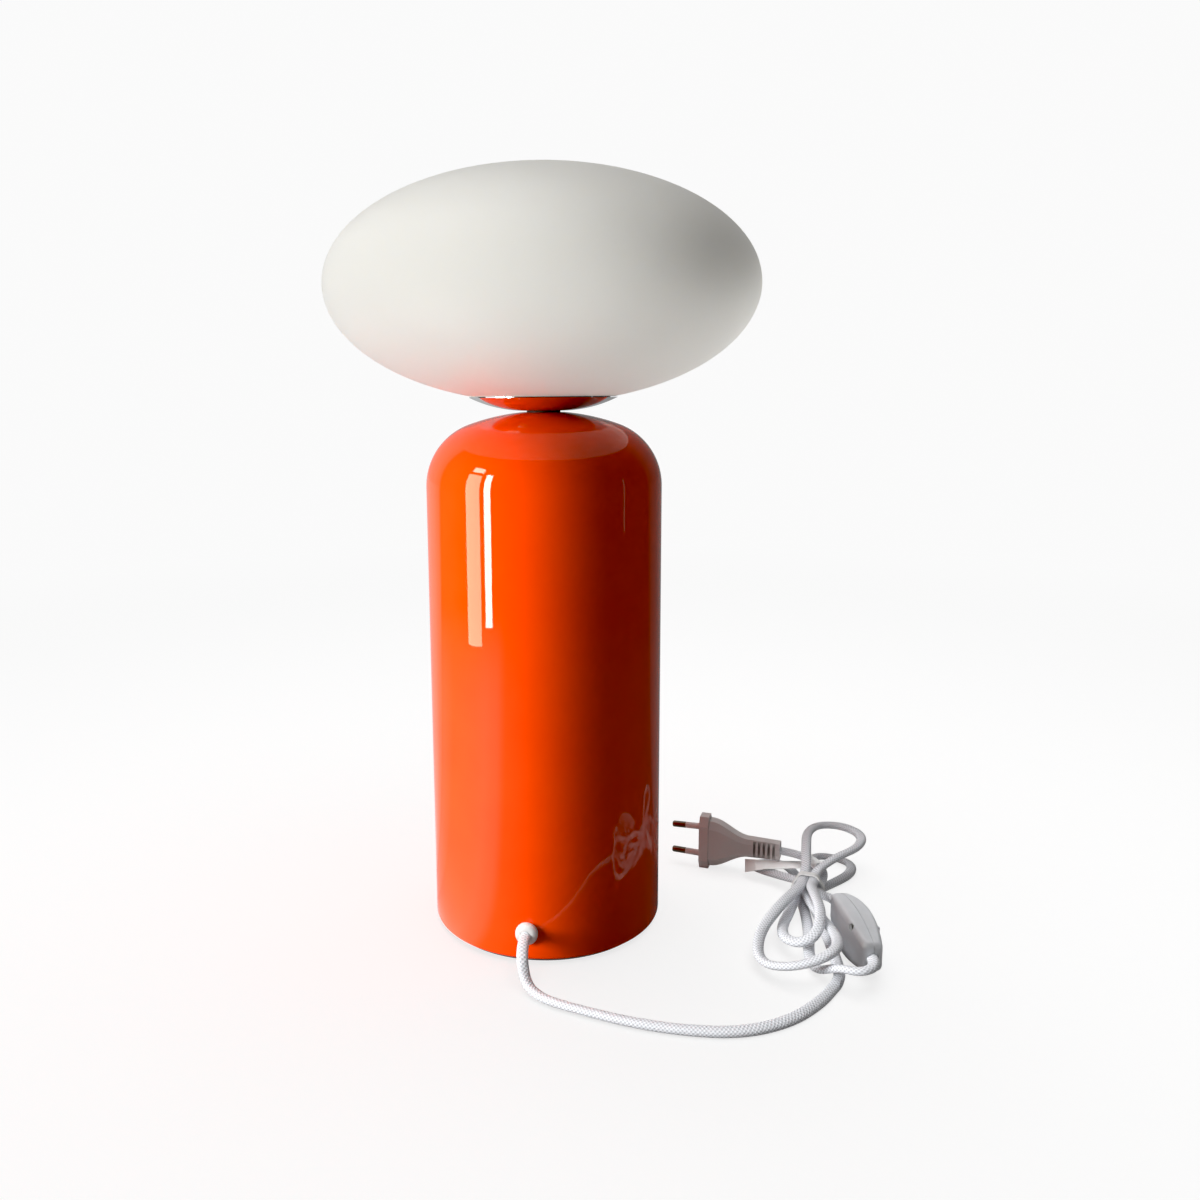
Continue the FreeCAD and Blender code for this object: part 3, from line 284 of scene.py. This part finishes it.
# Lamp: a small globe lamp with a rolled aluminium thread, a plastic collar and an opal glass bulb.
# It is screwed into the holder and hidden by the shade.
rolled_thread, tree, shader = new_finish("rolled_aluminium")
shader.inputs["Metallic"].default_value = 1.0
mottled(tree, shader, 300, (0.66, 0.66, 0.67), (0.78, 0.78, 0.79))
tree.links.new(spread(tree, speckle(tree, 500), 0.25, 0.4), shader.inputs["Roughness"])
dress(rolled_thread, "lamp_cap")
bulb_glass, tree, shader = new_finish("opal_bulb")
shader.inputs["Roughness"].default_value = 0.3
shader.inputs["Subsurface Weight"].default_value = 0.5
shader.inputs["Subsurface Radius"].default_value = (0.01, 0.01, 0.01)
mottled(tree, shader, 30, (0.84, 0.84, 0.82), (0.88, 0.88, 0.86))
dress(bulb_glass, "lamp_globe")

# Shade: one blown shell of opal glass, a flattened oval with an open mouth, acid-etched to a satin skin.
# It stands in the cup on its silicone ring and lifts straight off.
shade_radius = 0.120
shade_half = 0.063
shade_middle = 0.430 - shade_half
glass_wall = 0.003
mouth_radius = 0.036


def oval(radius, half, steps):
    """Points on one side of the shade's oval, from its mouth up to its pole."""
    first = -math.acos(mouth_radius / radius)
    points = []
    for k in range(steps + 1):
        turn = first + (math.pi / 2 - first) * k / steps
        points.append((max(radius * math.cos(turn), 0.0), shade_middle + half * math.sin(turn)))
    points[-1] = (0.0, points[-1][1])
    return points


outer_oval = oval(shade_radius, shade_half, 72)
inner_oval = oval(shade_radius - glass_wall, shade_half - glass_wall, 48)
shade = spun("shade_opal", outer_oval + inner_oval[::-1], 256)
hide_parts("shade_glass")
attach(shade, "shade")
opal, tree, shader = new_finish("opal_glass")
tree.links.new(spread(tree, speckle(tree, 25), 0.42, 0.5), shader.inputs["Roughness"])
shader.inputs["Subsurface Weight"].default_value = 0.6
shader.inputs["Subsurface Radius"].default_value = (0.012, 0.0115, 0.0105)
mottled(tree, shader, 9, (0.80, 0.79, 0.745), (0.84, 0.83, 0.785), 2.0)
raised(tree, shader, speckle(tree, 1800), 0.06, 0.0001)
shade.data.materials.append(opal)

# Grommet: a round domed bush moulded in white plastic. It snaps into a hole in the wall near the foot
# and keeps the edge of the sheet off the cord.
bush, tree, shader = new_finish("grommet_plastic")
shader.inputs["Roughness"].default_value = 0.3
shader.inputs["Subsurface Weight"].default_value = 0.15
shader.inputs["Subsurface Radius"].default_value = (0.002, 0.002, 0.002)
mottled(tree, shader, 200, (0.80, 0.80, 0.79), (0.85, 0.85, 0.84))
raised(tree, shader, speckle(tree, 1500), 0.08, 0.0001)
dress(bush, "grommet")


# Lead: a flat two-core cord in a white textile braid. It leaves the grommet and lies round the front
# of the lamp, is folded to and fro into a loose hank through one tie, and ends in the switch.
def smooth_line(name, points):
    """Points close together on the smooth curve that a route of points steers."""
    curve = bpy.data.curves.new(name, "CURVE")
    curve.dimensions = "3D"
    spline = curve.splines.new("NURBS")
    spline.points.add(len(points) - 1)
    for spot, point in zip(spline.points, points):
        spot.co = (*point, 1)
    spline.order_u = 3
    spline.use_endpoint_u = True
    spline.resolution_u = 12
    guide = bpy.data.objects.new(name, curve)
    bpy.context.scene.collection.objects.link(guide)
    bpy.context.view_layer.update()
    mesh = bpy.data.meshes.new_from_object(guide.evaluated_get(bpy.context.evaluated_depsgraph_get()))
    line = [vert.co.copy() for vert in mesh.vertices]
    bpy.data.objects.remove(guide)
    bpy.data.meshes.remove(mesh)
    return line


def flat_cord(name, line, width, thickness, roll):
    """A flat oval cord along a line, with a map of its girth and length for the braid."""
    sides = 20
    fullness = 0.85
    verts = []
    lengths = [0.0]
    for k, point in enumerate(line):
        along = (line[min(k + 1, len(line) - 1)] - line[max(k - 1, 0)]).normalized()
        across = along.cross(Vector((0, 0, 1))).normalized()
        above = across.cross(along)
        turn = roll(k / (len(line) - 1))
        flat = across * math.cos(turn) + above * math.sin(turn)
        edge = above * math.cos(turn) - across * math.sin(turn)
        for step in range(sides):
            angle = 2 * math.pi * step / sides
            out = math.copysign(abs(math.cos(angle)) ** fullness, math.cos(angle)) * width / 2
            rise = math.copysign(abs(math.sin(angle)) ** fullness, math.sin(angle)) * thickness / 2
            verts.append(point + flat * out + edge * rise)
        if k:
            lengths.append(lengths[-1] + (point - line[k - 1]).length)
    faces = []
    for k in range(len(line) - 1):
        for step in range(sides):
            after = (step + 1) % sides
            low = k * sides
            high = low + sides
            faces.append((low + step, low + after, high + after, high + step))
    faces.append(tuple(range(sides))[::-1])
    faces.append(tuple(range(len(verts) - sides, len(verts))))
    piece = shown(name, verts, faces, 60)
    girth = 0.0165
    chart = piece.data.uv_layers.new(name="braid")
    for face in piece.data.polygons:
        wraps = max(vert % sides for vert in face.vertices) - min(vert % sides for vert in face.vertices) > 1
        for loop, vert in zip(face.loop_indices, face.vertices):
            around = vert % sides
            if wraps and around == 0:
                around = sides
            chart.data[loop].uv = (around / sides, lengths[vert // sides] / girth)
    return piece


thread_rows = 8
braid, tree, shader = new_finish("white_braid")
shader.inputs["Roughness"].default_value = 0.8
shader.inputs["Sheen Weight"].default_value = 0.25
shader.inputs["Sheen Roughness"].default_value = 0.4


def worked(tree, step, first, second=None, third=None):
    """One sum on values or numbers."""
    node = tree.nodes.new("ShaderNodeMath")
    node.operation = step
    for socket, value in zip(node.inputs, (first, second, third)):
        if isinstance(value, (int, float)):
            socket.default_value = value
        elif value is not None:
            tree.links.new(value, socket)
    return node.outputs[0]


chart = tree.nodes.new("ShaderNodeUVMap")
chart.uv_map = "braid"
split = tree.nodes.new("ShaderNodeSeparateXYZ")
tree.links.new(chart.outputs["UV"], split.inputs["Vector"])
around = split.outputs["X"]
along = split.outputs["Y"]
strands = []
for way in (around, along):
    strands.append(worked(tree, "SINE", worked(tree, "MULTIPLY", way, 2 * math.pi * thread_rows)))
weave = worked(tree, "MULTIPLY", strands[0], strands[1])
weave = worked(tree, "MULTIPLY_ADD", weave, 0.5, 0.5)
tree.links.new(tints(tree, weave, (0.57, 0.585, 0.62), (0.87, 0.89, 0.93), 0.2, 0.65),
               shader.inputs["Base Color"])
raised(tree, shader, weave, 0.6, 0.0003)

cord_width = 0.0062
cord_thickness = 0.0043
cord_pitch = 0.00622
# Heights of the cord's middle: lying on the table, and in the rows of strands through the tie.
table = cord_thickness / 2 + 0.0002
row = cord_pitch * math.sqrt(0.75) * 1.02
waist_height = 0.0042
slots = {"low_left": (-cord_pitch / 2, waist_height), "low_right": (cord_pitch / 2, waist_height),
         "left": (-cord_pitch, waist_height + row), "middle": (0, waist_height + row),
         "right": (cord_pitch, waist_height + row), "high_left": (-cord_pitch / 2, waist_height + 2 * row),
         "high_right": (cord_pitch / 2, waist_height + 2 * row)}
hank_middle = Vector((0.157, 0.028, 0))
hank_heading = math.radians(78)
hank_along = Vector((math.cos(hank_heading), math.sin(hank_heading), 0))
hank_right = Vector((math.sin(hank_heading), -math.cos(hank_heading), 0))
waist_half = 0.006
lobe_steps = 9
lobe_power = 3.2
lobe_peak = (lobe_power / (lobe_power + 1)) ** (lobe_power / 2) * math.sqrt(1 / (lobe_power + 1))


def in_hank(along, right, up):
    """A point of the hank, measured from the middle of its tie."""
    return hank_middle + hank_along * along + hank_right * right + Vector((0, 0, up))


def through_tie(slot, away):
    """The two points where a strand goes through the tie."""
    ends = [in_hank(-waist_half, *slots[slot]), in_hank(waist_half, *slots[slot])]
    return ends if away else ends[::-1]


def lobe(side, slot_in, slot_out, heading, length, half_width, heights):
    """A drop-shaped loop of the hank, beyond the tie or before it."""
    first = slots[slot_in]
    last = slots[slot_out]
    leave = 1 if first[0] >= last[0] else -1
    stations = [first[1], *heights, last[1]]
    points = []
    for k in range(1, lobe_steps + 1):
        part = k / (lobe_steps + 1)
        sine = math.sin(math.pi * part)
        turn = math.radians(heading) * min(1, 1.5 * sine)
        out = length * sine ** 2
        across = leave * half_width / lobe_peak * sine ** lobe_power * math.cos(math.pi * part)
        along = out * math.cos(turn) - across * math.sin(turn)
        right = out * math.sin(turn) + across * math.cos(turn) + first[0] + (last[0] - first[0]) * part
        spot = part * (len(stations) - 1)
        at = min(int(spot), len(stations) - 2)
        ease = (1 - math.cos(math.pi * (spot - at))) / 2
        up = stations[at] + (stations[at + 1] - stations[at]) * ease
        points.append(in_hank(side * (waist_half + along), right, up))
    return points


switch_heading = math.radians(-78.5)
switch_along = Vector((math.cos(switch_heading), math.sin(switch_heading), 0))
switch_middle = Vector((0.1785, -0.0275, 0.013))
switch_mouth = 0.0365
switch_clamp = 0.024
exit_point = (0.0, -0.071, 0.0183)
lead_route = [exit_point, (0.0, -0.084, 0.0183), (0.004, -0.093, 0.0042), (0.013, -0.101, table),
              (0.024, -0.106, table), (0.041, -0.111, table), (0.061, -0.116, table), (0.086, -0.119, table),
              (0.115, -0.117, table), (0.139, -0.104, table), (0.155, -0.085, table), (0.163, -0.070, table),
              (0.1654, -0.0655, table), (0.168, -0.055, table), (0.1665, -0.034, table),
              (0.1635, -0.006, table)]
lead_route += through_tie("low_right", True)
lead_route += lobe(1, "low_right", "middle", 8, 0.060, 0.014, (table, table, table, 0.0045, 0.0080))
lead_route += through_tie("middle", False)
lead_route += lobe(-1, "middle", "high_left", 5, 0.092, 0.0228, (0.0106, 0.0168, 0.0055, 0.0152))
lead_route += through_tie("high_left", True)
lead_route += lobe(1, "high_left", "high_right", 12, 0.064, 0.017, (0.024, 0.024, 0.021))
lead_route += through_tie("high_right", False)
lead_route += lobe(-1, "high_right", "left", 6, 0.063, 0.0096, (0.0190, 0.0093, 0.0062))
lead_route += through_tie("left", True)
lead_route += lobe(1, "left", "low_left", -40, 0.047, 0.012, (0.0068, table, table))
lead_route += through_tie("low_left", False)
lead_route += [(0.1545, 0.004, table), (0.1545, -0.018, table), (0.1525, -0.039, table),
               (0.1555, -0.055, table), (0.1652, -0.0645, 0.0108), (0.177, -0.0715, 0.0128),
               switch_middle + switch_along * switch_mouth, switch_middle + switch_along * switch_clamp]
lead_line = smooth_line("lead_guide", lead_route)


def slow_twist(part):
    """How far the flat lead is rolled over at a part of its length."""
    swing = 0.35
    waves = 40
    return swing * math.sin(waves * part)


lead = flat_cord("lead_braided", lead_line, cord_width, cord_thickness, slow_twist)
lead.data.materials.append(braid)
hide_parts("cord_run", "cord_hank")
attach(lead, "lamp")
switch_pieces = [nodes[name] for name in sorted(nodes) if name.startswith("switch_")]
on_lead = [nodes["hank_tie"], *switch_pieces]

# Inner lead: the same braided cord inside the base. It runs from the grommet through its clip on the ballast
# and up the middle to the lampholder.
inner_route = [(0, -0.071, 0.0183), (0, -0.046, 0.0183), (0, -0.024, 0.0183), (0, 0, 0.0183), (0, 0, 0.0423),
               (0, 0, 0.150), (0, 0, 0.3085)]
inner_curve = bpy.data.curves.new("lead_inside", "CURVE")
inner_curve.dimensions = "3D"
inner_curve.bevel_depth = 0.0028
inner_curve.bevel_resolution = 4
inner_curve.use_fill_caps = True
inner_spline = inner_curve.splines.new("NURBS")
inner_spline.points.add(len(inner_route) - 1)
for spot, point in zip(inner_spline.points, inner_route):
    spot.co = (*point, 1)
inner_spline.order_u = 3
inner_spline.use_endpoint_u = True
inner_lead = bpy.data.objects.new("lead_inside", inner_curve)
bpy.context.scene.collection.objects.link(inner_lead)
inner_lead.data.materials.append(braid)
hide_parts("cord_inner")
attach(inner_lead, "lamp")

# Switch: two boat-shaped half shells of white plastic screwed together, with a rocker in one broad face.
# It stands on its long edge beside the hank.
switch_plastic, tree, shader = new_finish("switch_plastic")
shader.inputs["Roughness"].default_value = 0.4
mottled(tree, shader, 120, (0.74, 0.76, 0.79), (0.79, 0.81, 0.84))
raised(tree, shader, speckle(tree, 2200), 0.12, 0.0001)
dress(switch_plastic, "switch_lower_case", "switch_upper_case", "switch_rocker", "switch_plunger")

# Tail: the short length of the same cord that leaves the far end of the switch. It goes through the tie
# and into the boot of the plug.
plug_heading = math.radians(-10.6)
plug_along = Vector((math.cos(plug_heading), math.sin(plug_heading), 0))
plug_face = Vector((0.0906, 0.0712, 0.01765))
boot_end = 0.061
plug_clamp = 0.044
tail_exit = switch_middle - switch_along * switch_clamp
tail_route = [tail_exit, switch_middle - switch_along * switch_mouth]
tail_route += through_tie("right", True)
tail_route += [(0.168, 0.046, 0.0115), (0.1635, 0.057, 0.013), plug_face + plug_along * boot_end,
               plug_face + plug_along * plug_clamp]
tail_line = smooth_line("tail_guide", tail_route)
tail = flat_cord("tail_braided", tail_line, cord_width, cord_thickness, lambda part: 0.0)
tail.data.materials.append(braid)
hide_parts("cord_tail")
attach(tail, "lamp")
on_tail = [nodes[name] for name in ("plug_body", "plug_pins", "plug_sleeves", "cord_label")]

# Plug: a flat two-pin plug moulded in one piece of white plastic, with a flared grip and a slotted boot.
# Its pins are plated metal, in plastic sleeves at their roots.
plug_plastic, tree, shader = new_finish("plug_plastic")
shader.inputs["Roughness"].default_value = 0.42
# The plastic's colour is made darker where occlusion is found in the boot's slots and grooves: this is
# painted shade, not a darker plastic.
painted_slot_shade = tree.nodes.new("ShaderNodeAmbientOcclusion")
painted_slot_shade.samples = 8
painted_slot_shade.only_local = True
painted_slot_shade.inputs["Distance"].default_value = 0.004
tree.links.new(tints(tree, painted_slot_shade.outputs["AO"], (0.09, 0.08, 0.078), (0.78, 0.73, 0.72), 0.3, 0.75),
               shader.inputs["Base Color"])
raised(tree, shader, speckle(tree, 2200), 0.12, 0.0001)
dress(plug_plastic, "plug_body", "plug_sleeves")
pin_metal, tree, shader = new_finish("plated_pins")
shader.inputs["Metallic"].default_value = 1.0
mottled(tree, shader, 250, (0.26, 0.23, 0.19), (0.34, 0.31, 0.26))
tree.links.new(spread(tree, speckle(tree, 500), 0.25, 0.4), shader.inputs["Roughness"])
dress(pin_metal, "plug_pins")

# Tie and label: a soft white band twisted round the waist of the hank, and a blank flag of white film
# stuck round the tail beside the plug.
tie_film, tree, shader = new_finish("white_film")
shader.inputs["Roughness"].default_value = 0.45
mottled(tree, shader, 150, (0.86, 0.86, 0.85), (0.90, 0.90, 0.89))
raised(tree, shader, speckle(tree, 250), 0.1, 0.0003)
dress(tie_film, "hank_tie", "cord_label")


# Studio: a plain pale floor that runs on into a pale backdrop, a tall window at the left and a dim room.
# The camera sees the floor pale all over. The lacquer and the chrome mirror it bright at the left
# and behind, and dim in front and at the right.
def by_side(tree, place, stops):
    """A brightness for each direction from the lamp, from its angles in degrees and their values."""
    split = tree.nodes.new("ShaderNodeSeparateXYZ")
    tree.links.new(place, split.inputs["Vector"])
    turn = worked(tree, "ARCTAN2", split.outputs["Y"], split.outputs["X"])
    share = worked(tree, "MULTIPLY_ADD", turn, 0.5 / math.pi, 0.5)
    ramp = tree.nodes.new("ShaderNodeValToRGB")
    ramp.color_ramp.elements.remove(ramp.color_ramp.elements[1])
    for k, (angle, value) in enumerate(stops):
        position = angle / 360 + 0.5
        stop = ramp.color_ramp.elements.new(position) if k else ramp.color_ramp.elements[0]
        stop.position = position
        stop.color = (value, value, value, 1)
    tree.links.new(share, ramp.inputs["Fac"])
    return ramp.outputs["Color"]


def either(tree, choice, first, second):
    """The second of two shaders where the choice is 1, and the first elsewhere."""
    mix = tree.nodes.new("ShaderNodeMixShader")
    tree.links.new(choice, mix.inputs["Fac"])
    tree.links.new(first, mix.inputs[1])
    tree.links.new(second, mix.inputs[2])
    return mix.outputs["Shader"]


def glowing(tree, strength):
    """A surface that gives out an even light."""
    glow = tree.nodes.new("ShaderNodeEmission")
    if isinstance(strength, float):
        glow.inputs["Strength"].default_value = strength
    else:
        tree.links.new(strength, glow.inputs["Strength"])
    return glow.outputs["Emission"]


pale = 0.96
floor_reach = 30
floor_mesh = bpy.data.meshes.new("floor")
floor_mesh.from_pydata([(-floor_reach, -floor_reach, 0), (floor_reach, -floor_reach, 0),
                        (floor_reach, floor_reach, 0), (-floor_reach, floor_reach, 0)], [], [(0, 1, 2, 3)])
floor = bpy.data.objects.new("floor", floor_mesh)
bpy.context.scene.collection.objects.link(floor)
floor_paint, tree, shader = new_finish("pale_floor")
shader.inputs["Base Color"].default_value = (0.25, 0.25, 0.25, 1)
shader.inputs["Roughness"].default_value = 0.9
shader.inputs["Specular IOR Level"].default_value = 0.0
shader.inputs["Emission Color"].default_value = (1, 1, 1, 1)
shader.inputs["Emission Strength"].default_value = 0.78
place = tree.nodes.new("ShaderNodeTexCoord").outputs["Object"]
from_lamp = tree.nodes.new("ShaderNodeVectorMath")
from_lamp.operation = "LENGTH"
tree.links.new(place, from_lamp.inputs[0])


def eased(tree, value, start, end):
    """Runs smoothly from 0 to 1 as a value goes from its start to its end."""
    ease = tree.nodes.new("ShaderNodeMapRange")
    ease.interpolation_type = "SMOOTHSTEP"
    ease.inputs["From Min"].default_value = start
    ease.inputs["From Max"].default_value = end
    tree.links.new(value, ease.inputs["Value"])
    return ease.outputs["Result"]


seen = tree.nodes.new("ShaderNodeLightPath")
bounce = tree.nodes.new("ShaderNodeBsdfDiffuse")
bounce.inputs["Color"].default_value = (0.5, 0.5, 0.5, 1)
# How bright the room is in each direction, and the floor close to the lamp, where gloss mirrors them.
behind = ((-180, 0.07), (-165, 0.02), (38, 0.02), (41, 0.11), (90, 0.28), (148, 0.8), (159, 0.62),
          (162, 0.07))
nearby = by_side(tree, place, (
    (-180, 0.4), (-150, 1.0), (-138, 1.35), (-125, 1.15), (-118, 0.3), (-90, 0.1), (-60, 0.04), (40, 0.04),
    (90, 0.0), (158, 0.0), (164, 0.5)))
nearby = worked(tree, "MULTIPLY", nearby, eased(tree, from_lamp.outputs["Value"], 1.1, 0.45))
mirrored = glowing(tree, worked(tree, "ADD", by_side(tree, place, behind), nearby))
unseen = either(tree, seen.outputs["Is Glossy Ray"], bounce.outputs["BSDF"], mirrored)
far_away = eased(tree, from_lamp.outputs["Value"], 0.4, 1.6)
viewed = either(tree, far_away, shader.outputs["BSDF"], glowing(tree, pale))
floor_look = either(tree, seen.outputs["Is Camera Ray"], unseen, viewed)
tree.links.new(floor_look, tree.nodes["Material Output"].inputs["Surface"])
floor.data.materials.append(floor_paint)

world = bpy.data.worlds.new("studio")
bpy.context.scene.world = world
world.use_nodes = True
sky = world.node_tree
backdrop = sky.nodes["Background"]
backdrop.inputs["Strength"].default_value = pale
backdrop.inputs["Color"].default_value = (1, 1, 1, 1)
room = sky.nodes.new("ShaderNodeBackground")
view_way = sky.nodes.new("ShaderNodeTexCoord").outputs["Generated"]
sky.links.new(by_side(sky, view_way, behind), room.inputs["Strength"])
seen = sky.nodes.new("ShaderNodeLightPath")
sky_look = either(sky, seen.outputs["Is Camera Ray"], room.outputs["Background"],
                  backdrop.outputs["Background"])
sky.links.new(sky_look, sky.nodes["World Output"].inputs["Surface"])


def panel(name, turn, distance, height, width, tall, power, aim=None):
    """A soft light round the lamp, at an angle from +X in degrees, facing a height on the lamp's axis."""
    light = bpy.data.lights.new(name, "AREA")
    light.shape = "RECTANGLE"
    light.size = width
    light.size_y = tall
    light.energy = power
    lamp = bpy.data.objects.new(name, light)
    side = math.radians(turn)
    lamp.location = (distance * math.cos(side), distance * math.sin(side), height)
    way = Vector((0, 0, height if aim is None else aim)) - lamp.location
    lamp.rotation_euler = way.to_track_quat("-Z", "Y").to_euler()
    lamp.visible_camera = False
    bpy.context.scene.collection.objects.link(lamp)
    return lamp


def falls_on(lamp, state, *pieces):
    """Lets a light fall on these pieces alone, or on all but them."""
    group = bpy.data.collections.new(lamp.name + "_falls_on")
    for piece in pieces:
        group.objects.link(piece)
    for link in group.collection_objects:
        link.light_linking.link_state = state
    lamp.light_linking.receiver_collection = group


# The window's panes and head, and a far doorway: these are mirrored in gloss and light nothing.
for name, turn, distance, height, width, tall, power, tint in (
        ("window_left", -147.3, 0.50, 0.2575, 0.134, 0.375, 1.75, (1.0, 1.0, 0.72)),
        ("window_right", -131.8, 0.50, 0.28, 0.058, 0.38, 2.2, (1.0, 1.0, 0.93)),
        ("window_head", -146.0, 0.50, 0.51, 0.115, 0.065, 0.42, (1.0, 1.0, 0.82)),
        ("doorway", -3.5, 0.50, 0.27, 0.014, 0.18, 0.0063, (1.0, 1.0, 1.0))):
    light = panel(name, turn, distance, height, width, tall, power)
    light.data.color = tint
    light.visible_diffuse = False
    falls_on(light, "EXCLUDE", shade)

# Two strips that only the cup mirrors, in its lip.
for name, turn, width, power in (("lip_left", -150.0, 0.5, 0.077), ("lip_right", 62.0, 0.36, 0.03)):
    light = panel(name, turn, 0.5, lip_top, width, 0.04, power)
    light.visible_diffuse = False
    falls_on(light, "INCLUDE", cup)

# Soft panels that light the pieces in their rows, or all but those, and are mirrored in nothing.
loose_pieces = [lead, tail, nodes["grommet"], *on_lead, *on_tail]
sunlit_pieces = [piece for piece in loose_pieces if piece not in switch_pieces]
under_shade = [nodes[name] for name in ("lampholder_cap", "lampholder_skirt", "lamp_collar", "lamp_cap",
                                        "lamp_globe", "seat_ring", "spring_clips", "holder_plate")]
white_pieces = (shade, *under_shade)
for name, turn, distance, height, width, tall, power, aim, state, pieces in (
        ("window_glow", -150.0, 1.1, 0.21, 0.6, 0.5, 33.0, None, "EXCLUDE",
         (floor, *white_pieces, *loose_pieces)),
        ("back_glow", 112.0, 1.1, 0.21, 0.6, 0.5, 13.0, None, "INCLUDE", (base_shell,)),
        ("shade_front", -112.0, 1.15, 0.12, 1.2, 0.22, 11.2, shade_middle, "INCLUDE", white_pieces),
        ("shade_right", 45.0, 0.8, 0.12, 0.5, 0.22, 6.9, shade_middle, "INCLUDE", white_pieces),
        ("shade_left", 165.0, 0.8, 0.12, 0.5, 0.22, 1.5, shade_middle, "INCLUDE", white_pieces),
        ("shade_over", -150.0, 0.3, 1.4, 1.2, 1.2, 10.6, shade_middle, "INCLUDE", white_pieces),
        ("ceiling", 90.0, 0.1, 1.8, 2.0, 2.0, 32.0, 0.0, "INCLUDE", (floor, nodes["cord_label"])),
        ("cord_over", 90.0, 0.1, 1.8, 2.0, 2.0, 14.5, 0.0, "INCLUDE", loose_pieces),
        ("switch_over", 90.0, 0.1, 1.8, 2.0, 2.0, 56.0, 0.0, "INCLUDE", switch_pieces),
        ("cord_window", -140.0, 1.1, 0.6, 0.6, 0.6, 21.0, 0.0, "INCLUDE", sunlit_pieces),
        ("cord_fill", -60.0, 0.9, 0.7, 0.8, 0.8, 0.5, 0.0, "INCLUDE", sunlit_pieces)):
    light = panel(name, turn, distance, height, width, tall, power, aim)
    light.visible_glossy = False
    falls_on(light, state, *pieces)

# Camera: at the photograph's place, level with the lamp's neck and a little to its right, looking down.
# It is turned a third of a degree about its own axis.
lens = bpy.data.cameras.new("view")
lens.sensor_width = 36.0
lens.lens = 31.247
lens.shift_x = 0.03477
lens.shift_y = -0.0289
camera = bpy.data.objects.new("view", lens)
bpy.context.scene.collection.objects.link(camera)
forward = Vector((-0.15841, 0.97473, -0.15751)).normalized()
level = forward.cross(Vector((0, 0, 1))).normalized()
upright = level.cross(forward)
roll = -0.0065
right = level * math.cos(roll) + upright * math.sin(roll)
up = upright * math.cos(roll) - level * math.sin(roll)
place = Vector((0.10329, -0.58728, 0.30605))
camera.matrix_world = Matrix(((right.x, up.x, -forward.x, place.x), (right.y, up.y, -forward.y, place.y),
                              (right.z, up.z, -forward.z, place.z), (0, 0, 0, 1)))
bpy.context.scene.camera = camera
picture = bpy.context.scene.view_settings
picture.view_transform = "Standard"
picture.use_curve_mapping = True
picture.curve_mapping.black_level = (0.003, 0.007, 0.010)
picture.curve_mapping.update()

bpy.context.view_layer.update()
